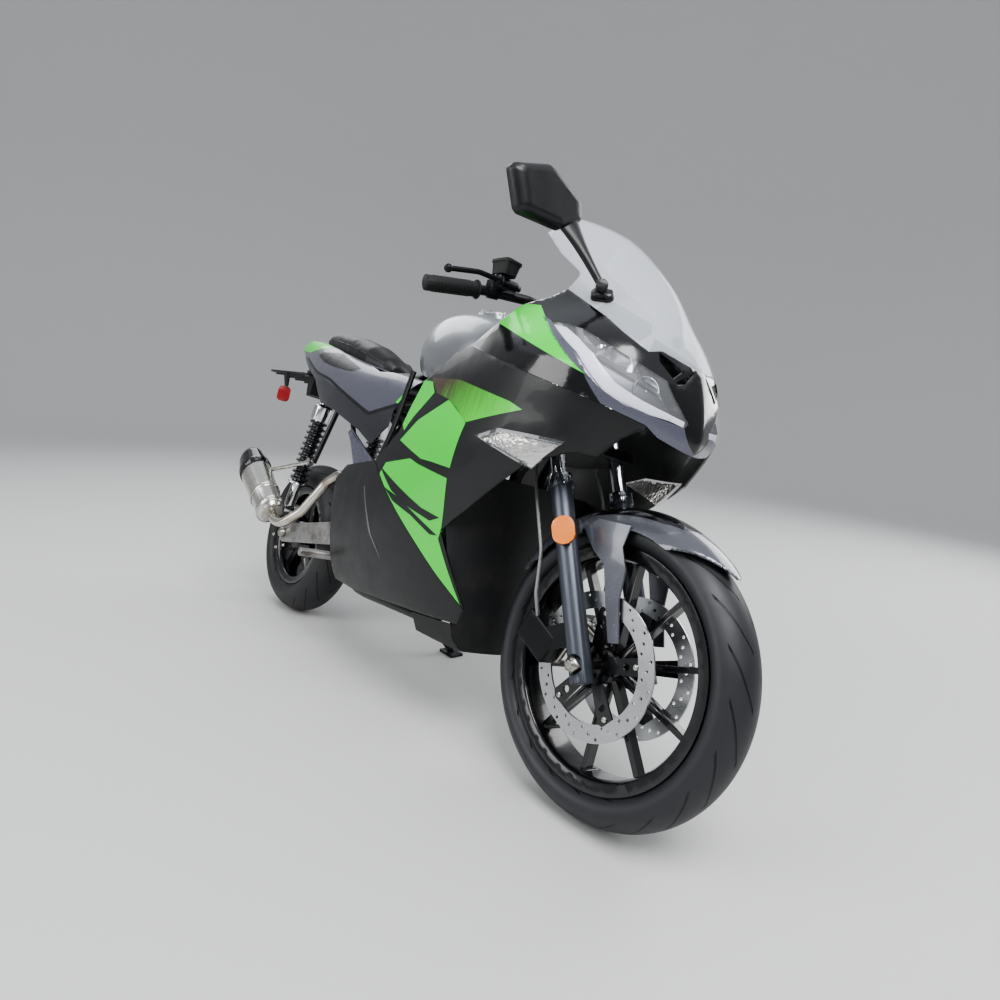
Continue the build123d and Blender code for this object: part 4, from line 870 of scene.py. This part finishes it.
class Shell:
    """Every CAD piece as a smooth-shaded copy in its real material."""

    def __init__(self, frame: dict) -> None:
        """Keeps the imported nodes.
        """
        self.nodes = frame["nodes"]
        self.slots = {s["node"]: s["material_slot"] for s in frame["record"]["subparts"]}

    def build(self) -> None:
        """Makes and dresses the copies."""
        for name, (finish, body, angle) in NODE_LOOKS.items():
            piece = evened(smooth(fair_copy(self.nodes[name], f"{name}_surface"), angle))
            dressed(piece, body, finish)
            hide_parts(name)
            if name in SECOND_LOOKS:
                two_tone(piece, *SECOND_LOOKS[name])


# ---- paint ---------------------------------------------------------------------------------------
@dataclass(frozen=True)
class Paint:
    """One painted area of a panel.

    Attributes:
        name: What it is.
        node: The panel's CAD node.
        finish: Its paint.
        outline: Corners in the view's axes, mm.
        views: The planes that it is drawn in, one skin for each.
        lift: How far it stands off the panel, mm.
        body: The body that the panel belongs to.
    """

    name: str
    node: str
    finish: Finish
    outline: tuple[tuple[float, float], ...]
    views: tuple[View, ...] = (View.RIGHT, View.LEFT)
    lift: float = 0.5
    body: str = "chassis"


PAINTS = (
    Paint("cowl_wedge", "upper_cowl", VIVID_GREEN, (
        (997, 899), (1041, 946), (1085, 943), (1115, 920), (1277, 802))),
    Paint("nose_band", "upper_cowl", VIOLET_GREY, (
        (1277, 800), (1304, 783), (1324, 771), (1360, 761), (1391, 757), (1400, 700), (1368, 727),
        (1358, 742), (1306, 758))),
    Paint("cowl_edge", "upper_cowl", VIOLET_GREY, (
        (1115, 916), (1150, 903), (1248, 840), (1304, 783), (1283, 797))),
    Paint("flank_front", "side_fairings", VIVID_GREEN, (
        (757, 768), (813, 764), (846, 737), (784, 677), (757, 641), (738, 655))),
    Paint("flank_middle", "side_fairings", VIVID_GREEN, (
        (924, 722), (974, 706), (1017, 677), (987, 581), (918, 585), (870, 586), (751, 617), (814, 670))),
    Paint("flank_point", "side_fairings", FADED_GREEN, (
        (800, 774), (946, 768), (1134, 732), (1167, 720), (1017, 679), (924, 724), (860, 736))),
    Paint("flank_lower", "side_fairings", VIVID_GREEN, (
        (660, 492), (706, 558), (823, 581), (862, 573), (979, 559), (964, 452), (956, 428), (1036, 297),
        (983, 298), (872, 401), (789, 436))),
    Paint("flank_slash", "side_fairings", SATIN_BLACK, (
        (675, 548), (783, 515), (892, 482), (957, 473), (924, 460), (844, 474), (762, 498)), lift=0.9),
    Paint("flank_slash_low", "side_fairings", SATIN_BLACK, (
        (728, 500), (806, 487), (952, 434), (927, 431), (854, 458), (774, 476)), lift=0.9),
    # A pale grey line along the lower covers' crease: painted highlight.
    Paint("lower_crease_highlight", "lower_covers", FENDER_GREY, (
        (610, 488), (618, 486), (690, 380), (748, 330), (740, 334), (676, 384))),
    Paint("tail_tip", "tail_cowl", VIVID_GREEN, (
        (-420, 872), (-420, 950), (-60, 950), (-10, 872), (-172, 856), (-305, 872))),
    Paint("tail_strip", "tail_cowl", VIVID_GREEN, (
        (616, 784), (612, 733), (592, 706), (557, 716), (586, 758))),
    # The tail's lower side, darker than the tail above: painted shade.
    Paint("tail_shaded_band", "tail_cowl", TAIL_SHADE_GREY, (
        (-180, 840), (10, 782), (452, 680), (568, 716), (620, 700), (480, 560), (0, 600), (-420, 850),
        (-300, 850))),
    # A black line along the crease over the band: painted crease shade.
    Paint("tail_crease_shade", "tail_cowl", FRAME_BLACK, (
        (-170, 836), (10, 786), (156, 762), (452, 678), (566, 714), (568, 706), (452, 668), (156, 753),
        (10, 778), (-170, 829)), lift=0.8),
    # The grab hollow: its own black moulding, drawn in a deeper black as painted shade in the hollow.
    Paint("hand_hold_and_shade", "tail_cowl", FRAME_BLACK, (
        (-40, 840), (-20, 852), (120, 850), (300, 802), (262, 790), (140, 800), (40, 816)), lift=0.8),
    Paint("fender_top", "front_fender", GLOSS_BLACK, (
        (1090, -34), (1270, -52), (1340, -50), (1400, -44), (1440, -30), (1455, 0), (1440, 30),
        (1400, 44), (1340, 50), (1270, 52), (1090, 34)), views=(View.TOP,), body="steering"),
)


class Paintwork:
    """The coloured areas of the panels, each a thin skin that follows its panel."""

    def __init__(self, nodes: dict[str, bpy.types.Object]) -> None:
        """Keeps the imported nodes."""
        self.nodes = nodes

    def build(self) -> None:
        """Cuts every skin from its panel and dresses it, in the order of PAINTS."""
        for paint in PAINTS:
            for view in paint.views:
                skin = fair_copy(self.nodes[paint.node], f"{paint.name}_{view.name.lower()}")
                cut_out(skin, list(paint.outline), view, paint.lift)
                dressed(evened(smooth(skin, 40)), paint.body, paint.finish)


# ---- lamps ---------------------------------------------------------------------------------------
@dataclass
class Headlamps:
    """What shows inside the two clear lamps and under the indicators' lenses.

    Attributes:
        nodes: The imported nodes.
        lens: Side view of a lamp, mm.
        rim: Side view of the white rim along a lamp's lower edge, mm.
        indicator: Side view of an indicator, mm.
        bowls: Centre, way out and radius of each reflector bowl on the right side, mm.
    """

    nodes: dict[str, bpy.types.Object]
    lens: tuple[tuple[float, float], ...] = (
        (1150, 901), (1186, 900), (1230, 890), (1277, 871), (1331, 847), (1361, 831), (1380, 795),
        (1393, 766), (1391, 757), (1360, 761), (1324, 771), (1304, 783), (1248, 840))
    rim: tuple[tuple[float, float], ...] = (
        (1150, 901), (1248, 840), (1304, 783), (1324, 771), (1360, 761), (1391, 757), (1391, 769),
        (1354, 782), (1321, 800), (1274, 846), (1232, 874), (1192, 894))
    indicator: tuple[tuple[float, float], ...] = ((1053, 657), (1114, 679), (1256, 679), (1196, 616))
    bowls: tuple[tuple[tuple, tuple, float], ...] = (
        ((1280, -146, 836), (0.88, -0.42, 0.12), 36.0), ((1330, -98, 806), (0.92, -0.36, 0.1), 24.0))

    def linings(self) -> None:
        """Makes the rims and linings of the lamps and the facets of the indicators, on both sides."""
        for view in (View.RIGHT, View.LEFT):
            for node, label, outline, finish, lift in (
                ("headlights", "lamp_rim", self.rim, NOSE_SILVER, -4.6),
                ("headlights", "lamp_lining", self.lens, BOWL_GREY, -30.0),
                ("indicators", "indicator_facets", self.indicator, FACETED, -9.0),
            ):
                skin = fair_copy(self.nodes[node], f"{label}_{view.name.lower()}")
                cut_out(skin, list(outline), view, lift)
                dressed(smooth(skin, 30), "chassis", finish)

    def reflectors(self) -> None:
        """Makes a dished reflector with its bulb in each bowl's place, on both sides."""
        for number, (centre, way, radius) in enumerate(self.bowls):
            for side, label in ((1, "right"), (-1, "left")):
                place, out = (Vector((x, y * side, z)) for x, y, z in (centre, way))
                out.normalize()
                dish = [(-0.55 * radius, 0.0)]
                dish += [(0.55 * radius * (t * t - 1), radius * t) for t in (0.2, 0.4, 0.6, 0.8, 1.0)]
                dish += [(2.0, radius + 1.5), (0.0, radius + 4.0)]
                settled(turned(dish, place, out, 40), f"lamp_bowl_{number}_{label}", "chassis", BOWL)
                back = -0.5 * radius
                bulb = [(back, 0.0), (back, 5.0), (-8.0, 5.0), (-3.0, 4.2), (0.0, 2.2), (1.0, 0.0)]
                settled(turned(bulb, place, out, 16), f"lamp_bulb_{number}_{label}", "chassis", BULB)

    def build(self) -> None:
        """Makes both lamps and both indicators."""
        self.linings()
        self.reflectors()


# ---- fastenings ----------------------------------------------------------------------------------
class Bolt(Enum):
    """Shapes of a bolt's head as half sections: distance along it and radius, for a head of radius 1."""

    BUTTON = ((0.0, 1.0), (0.35, 0.94), (0.6, 0.62), (0.6, 0.45), (0.25, 0.4), (0.25, 0.0))
    FLANGE = ((0.0, 1.25), (0.2, 1.2), (0.25, 0.85), (0.9, 0.8), (1.0, 0.66), (1.0, 0.0))


@dataclass(frozen=True)
class Row:
    """Bolts that share a head, a way out and a finish.

    Attributes:
        name: What they hold.
        body: The body that they move with.
        places: Their seats, mm.
        out: The way out of the surface.
        radius: Of the head, mm.
        head: Its shape.
        finish: Its material.
    """

    name: str
    body: str
    places: tuple[tuple[float, float, float], ...]
    out: tuple[float, float, float]
    radius: float
    head: Bolt = Bolt.BUTTON
    finish: Finish = BOLT

    def build(self) -> None:
        """Makes the row as one piece."""
        profile = [(h * self.radius, r * self.radius) for h, r in self.head.value]
        sides = 6 if self.head is Bolt.FLANGE else 12
        heads = [turned(profile, place, self.out, sides) for place in self.places]
        settled(joined(heads), self.name, self.body, self.finish)


def ring(centre: tuple[float, float, float], radius: float, count: int, start: float) -> tuple:
    """Places round a wheel's axis.

    Args:
        centre: The ring's middle, mm.
        radius: In millimetres.
        count: How many.
        start: Angle of the first one, degrees.

    Returns:
        The places.
    """
    angles = [math.radians(start + 360 * n / count) for n in range(count)]
    x, y, z = centre
    return tuple((x + radius * math.cos(a), y, z + radius * math.sin(a)) for a in angles)


@dataclass
class Fastenings:
    """The bolts that show on the front wheel and round the rear axle.

    Attributes:
        disc_face: Outer face of a disc's carrier, from the middle of the machine, mm.
        case_face: Outer face that the rear bolts stand on, from the middle of the machine, mm.
    """

    disc_face: float = 63.6
    case_face: float = 106.4

    def build(self) -> None:
        """Makes every row on both sides."""
        for side, label in ((-1, "right"), (1, "left")):
            out = (0, side, 0)
            disc = (FRONT_AXLE[0], side * self.disc_face, FRONT_AXLE[2])
            case = (REAR_AXLE[0], side * self.case_face, REAR_AXLE[2])
            places = ring(disc, radius=99, count=5, start=90)
            Row(f"disc_bolts_{label}", "front_wheel", places, out, radius=5.5).build()
            places = ring(disc, radius=38, count=5, start=54)
            Row(f"carrier_bolts_{label}", "front_wheel", places, out, 6.0, Bolt.FLANGE, DARK_BOLT).build()
            places = ring(case, radius=54, count=6, start=20)
            Row(f"case_bolts_{label}", "chassis", places, out, 5.0, Bolt.FLANGE).build()


# ---- controls ------------------------------------------------------------------------------------
@dataclass
class Controls:
    """Glass of the mirror, dials and the grips' ribs.

    Attributes:
        binnacle: Middle of the instrument's face, mm.
        display: Sides and thickness of the display, mm.
        display_rise: Its middle above the instrument's face, mm.
        dials: Place across and radius of each dial, mm.
        dial_rise: Their seat above the instrument's face, mm.
        mirror: Middle of the mirror's rim, mm.
        recess: Depth of the glass behind the rim, mm.
        glass: Outline of the mirror's glass across (left) and up, mm.
        grip: Outer end of the left grip and the bend that its bar comes from, mm.
        ribs: Raised rings on each grip.
        rib_pitch: From ring to ring, mm.
        rib_start: First ring from the grip's outer end, mm.
        flange_at: Flange from the grip's outer end, mm.
    """

    binnacle: tuple[float, float, float] = (1129.0, 0.0, 965.0)
    display: tuple[float, float, float] = (142.0, 70.0, 2.4)
    display_rise: float = 5.4
    dials: tuple[tuple[float, float], ...] = ((-44.0, 22.0), (0.0, 30.0), (44.0, 22.0))
    dial_rise: float = 6.4
    mirror: tuple[float, float, float] = (1130.0, -282.0, 1114.0)
    recess: float = 6.2
    glass: tuple[tuple[float, float], ...] = (
        (-84, 9), (-77, 18), (-12, 48), (0, 47), (78, 20), (85, -5), (40, -38), (-48, -50), (-58, -46))
    grip: tuple[tuple[float, float, float], ...] = ((882.0, 334.0, 944.0), (903.0, 200.0, 978.0))
    ribs: int = 12
    rib_pitch: float = 7.5
    rib_start: float = 14.0
    flange_at: float = 118.0

    def instruments(self) -> None:
        """Makes a dark display with three dials, each a raised rim and a needle."""
        out = Vector((-0.5, 0, 0.87)).normalized()
        low = out.cross(Vector((0, 1, 0)))
        turn = Matrix((Vector((0, 1, 0)), low, out)).transposed()
        middle = Vector(self.binnacle)
        display = block(middle + out * self.display_rise, self.display, 1.0, turn)
        settled(display, "display_glass", "chassis", DIAL)
        for number, (across, radius) in enumerate(self.dials):
            rim = [(0.0, radius - 2.4), (3.0, radius - 2.0), (3.6, radius - 1.0), (3.0, radius)]
            rim.append((0.0, radius + 0.4))
            place = middle + Vector((0, across, 0)) + out * self.dial_rise
            settled(turned(rim, place, out, 36), f"dial_rim_{number}", "chassis", ZINC)
            needle = block(place + low * radius * 0.3 + out * 1.6, (1.6, radius * 0.8, 0.8), 0.3, turn)
            settled(needle, f"dial_needle_{number}", "chassis", NOSE_SILVER)

    def mirror_glass(self) -> None:
        """Makes a flat silvered pane in the recess behind the mirror's rim."""
        out = Vector((1, 0, 0.12)).normalized()
        across = Vector((0, 1, 0))
        up = out.cross(across)
        middle = Vector(self.mirror) - out * self.recess
        corners = [middle + across * u + up * v for u, v in self.glass]
        data = bpy.data.meshes.new("pane")
        data.from_pydata(corners, [], [tuple(range(len(corners)))])
        pane = linked("pane", data)
        applied(pane, "SOLIDIFY", thickness=1.2, offset=0)
        applied(pane, "BEVEL", width=0.4, segments=1)
        settled(pane, "mirror_glass", "chassis", MIRROR)

    def grip_ribs(self) -> None:
        """Makes raised rings round each grip and a flange at its inner end."""
        rib = [(-2.2, 16.2), (-1.4, 17.6), (1.4, 17.6), (2.2, 16.2)]
        flange = [(-2.0, 16.2), (-2.0, 20.0), (0.0, 21.0), (2.0, 20.0), (2.0, 16.2)]
        for side, label in ((-1, "right"), (1, "left")):
            start, end = (Vector((x, y * side, z)) for x, y, z in self.grip)
            way = (end - start).normalized()
            steps = [self.rib_start + number * self.rib_pitch for number in range(self.ribs)]
            rings = [turned(rib, start + way * step, way, 24) for step in steps]
            rings.append(turned(flange, start + way * self.flange_at, way, 24))
            settled(joined(rings), f"grip_ribs_{label}", "steering", GRIP)

    def build(self) -> None:
        """Makes every control's details."""
        self.instruments()
        self.mirror_glass()
        self.grip_ribs()


# ---- saddle --------------------------------------------------------------------------------------
@dataclass
class Saddle:
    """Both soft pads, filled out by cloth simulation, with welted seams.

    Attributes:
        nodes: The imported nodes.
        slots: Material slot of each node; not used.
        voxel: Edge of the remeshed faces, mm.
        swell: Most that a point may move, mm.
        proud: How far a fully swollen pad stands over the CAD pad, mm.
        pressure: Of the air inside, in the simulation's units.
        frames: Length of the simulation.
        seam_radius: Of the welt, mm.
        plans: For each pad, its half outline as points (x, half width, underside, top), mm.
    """

    nodes: dict[str, bpy.types.Object]
    slots: dict[str, str]
    voxel: float = 5.0
    swell: float = 5.0
    proud: float = 0.4
    pressure: float = 4.0
    frames: int = 20
    seam_radius: float = 1.8
    plans: tuple[tuple[str, tuple], ...] = (
        ("rider_seat", (
            (322, 108, 776, 812), (400, 122, 768, 810), (470, 100, 766, 816), (515, 74, 768, 828))),
        ("pillion_pad", (
            (-215, 26, 905, 928), (-150, 52, 890, 944), (-30, 78, 868, 938), (100, 94, 844, 922),
            (215, 92, 818, 898), (290, 64, 806, 866), (316, 40, 806, 842))),
    )

    def filled(self, pad: bpy.types.Object) -> None:
        """Swells a pad under pressure from a slightly smaller shape, then fairs it.

        Args:
            pad: The copy of a pad's node.
        """
        applied(pad, "REMESH", mode="VOXEL", voxel_size=self.voxel / 1000)
        with editing(pad):
            bpy.ops.transform.shrink_fatten(value=-(self.swell - self.proud) / 1000)
        start = [vertex.co.copy() for vertex in pad.data.vertices]
        cloth = pad.modifiers.new("cloth", "CLOTH")
        cloth.settings.use_pressure, cloth.settings.uniform_pressure_force = True, self.pressure
        cloth.settings.effector_weights.gravity = 0.0
        cloth.point_cache.frame_start, cloth.point_cache.frame_end = 1, self.frames
        for frame in range(1, self.frames + 1):
            bpy.context.scene.frame_set(frame)
        alone(pad)
        bpy.ops.object.modifier_apply(modifier=cloth.name)
        bpy.context.scene.frame_set(1)
        for vertex, before in zip(pad.data.vertices, start):
            moved = vertex.co - before
            if moved.length > self.swell / 1000:
                vertex.co = before + moved.normalized() * self.swell / 1000
        with editing(pad):
            bpy.ops.mesh.vertices_smooth(factor=0.5, repeat=10)
        applied(pad, "SUBSURF", levels=1)

    def seam(self, pad: bpy.types.Object, name: str, plan: tuple) -> None:
        """Makes a welted seam that lies on a pad, round its whole top, a little above half its height.

        Args:
            pad: The finished pad, in its place.
            name: The seam's name.
            plan: The pad's half outline, as in plans.
        """
        back = Upright.matrix().inverted()
        loop = [(x, half * 0.98, low + 0.55 * (top - low)) for x, half, low, top in plan]
        loop += [(x, -y, z) for x, y, z in reversed(loop)]
        points = []
        for here, there in zip(loop, loop[1:] + loop[:1]):
            for share in (0.0, 0.25, 0.5, 0.75):
                guess = Upright.point(*Vector(here).lerp(Vector(there), share))
                points.append(back @ pad.closest_point_on_mesh(guess)[1])
        points.append(points[0])
        settled(tube(points, self.seam_radius, 8, 3), name, "chassis", VINYL)

    def build(self) -> None:
        """Makes both pads."""
        for node, plan in self.plans:
            pad = fair_copy(self.nodes[node], f"{node}_cover")
            self.filled(pad)
            dressed(smooth(pad, 60), "chassis", VINYL)
            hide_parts(node)
            self.seam(pad, f"{node}_seam", plan)


# ---- studio --------------------------------------------------------------------------------------
@dataclass
class Studio:
    """Floor, soft lights and camera.

    Attributes:
        reach: From the middle to the wall, m.
        bend: Radius of the curve between floor and wall, m.
        height: Of the wall, m.
        lamps: Name, place, side in metres and power in watts of each soft light.
        camera_place: Where the camera stands, m.
        yaw: Its heading from X, degrees.
        pitch: How far it looks down, degrees.
        roll: Its turn about its own axis, degrees.
        lens: Its focal length for a sensor 36 mm wide, mm.
    """

    reach: float = 9.0
    bend: float = 3.5
    height: float = 7.0
    lamps: tuple[tuple[str, tuple[float, float, float], float, float], ...] = (
        ("key_light", (2.6, -0.8, 3.6), 2.2, 170), ("side_light", (-0.6, -3.6, 2.2), 2.6, 90),
        ("left_light", (0.8, 3.6, 2.4), 2.6, 80), ("rear_light", (-3.4, 0.6, 3.2), 2.4, 45),
    )
    camera_place: tuple[float, float, float] = (1.61766, -1.130695, 0.78558)
    yaw: float = 140.13
    pitch: float = 8.9
    roll: float = -5.25
    lens: float = 25.08

    def floor(self) -> None:
        """Makes a plain pale floor that curves up into a round wall, so that no edge shows from any side."""
        profile = [(0.0, 0.0), (0.0, self.reach - self.bend)]
        for step in range(1, 13):
            angle = math.radians(90 * step / 12)
            up, out = self.bend * (1 - math.cos(angle)), self.bend * math.sin(angle)
            profile.append((up, self.reach - self.bend + out))
        profile.append((self.height, self.reach))
        ground = turned(profile, (0, 0, 0), (0, 0, 1), 96)
        smooth(ground, 60)
        ground.name = "studio_floor"
        # Matt vinyl: it takes soft shadows and gives back no highlight.
        vinyl = Finish("pale_vinyl_floor", "c4c4c3", roughness=0.75, wear=0.0)
        ground.data.materials.append(vinyl.material())

    def lights(self) -> None:
        """Hangs the soft lights, all turned to the machine's middle, in an even pale surround."""
        middle = Vector((0.1, 0, 0.6))
        for name, place, side, power in self.lamps:
            data = bpy.data.lights.new(name, "AREA")
            data.size, data.energy = side, power
            lamp = linked(name, data)
            lamp.location = place
            lamp.rotation_euler = (middle - Vector(place)).to_track_quat("-Z", "Y").to_euler()
        world = bpy.data.worlds.new("studio_air")
        bpy.context.scene.world = world
        world.use_nodes = True
        air = world.node_tree.nodes["Background"]
        air.inputs["Color"].default_value = linear("dfe3ea")
        air.inputs["Strength"].default_value = 0.8

    def camera(self) -> None:
        """Sets the camera up in front of the right side."""
        yaw, pitch, roll = (math.radians(a) for a in (self.yaw, self.pitch, self.roll))
        level = math.cos(pitch)
        ahead = Vector((math.cos(yaw) * level, math.sin(yaw) * level, -math.sin(pitch)))
        right = ahead.cross(Vector((0, 0, 1))).normalized()
        up = right.cross(ahead)
        spin = Matrix.Rotation(roll, 3, ahead)
        right, up = spin @ right, spin @ up
        data = bpy.data.cameras.new("camera")
        data.lens, data.sensor_width = self.lens, 36.0
        eye = linked("camera", data)
        facing = Matrix((right, up, -ahead)).transposed().to_4x4()
        eye.matrix_world = Matrix.Translation(self.camera_place) @ facing
        bpy.context.scene.camera = eye

    def build(self) -> None:
        """Sets the whole studio up."""
        self.floor()
        self.lights()
        self.camera()
        bpy.context.scene.view_settings.view_transform = "AgX"
        bpy.context.scene.view_settings.look = "AgX - Medium High Contrast"


def main() -> None:
    """Builds the machine's looks piece by piece."""
    logging.basicConfig(level=logging.INFO, format="%(message)s")
    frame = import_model()
    Upright.settle(frame["joints"])
    shell = Shell(frame)
    shell.build()
    Saddle(shell.nodes, shell.slots).build()
    Paintwork(shell.nodes).build()
    Headlamps(shell.nodes).build()
    Fastenings().build()
    Controls().build()
    Studio().build()


if __name__ == "__main__":
    main()
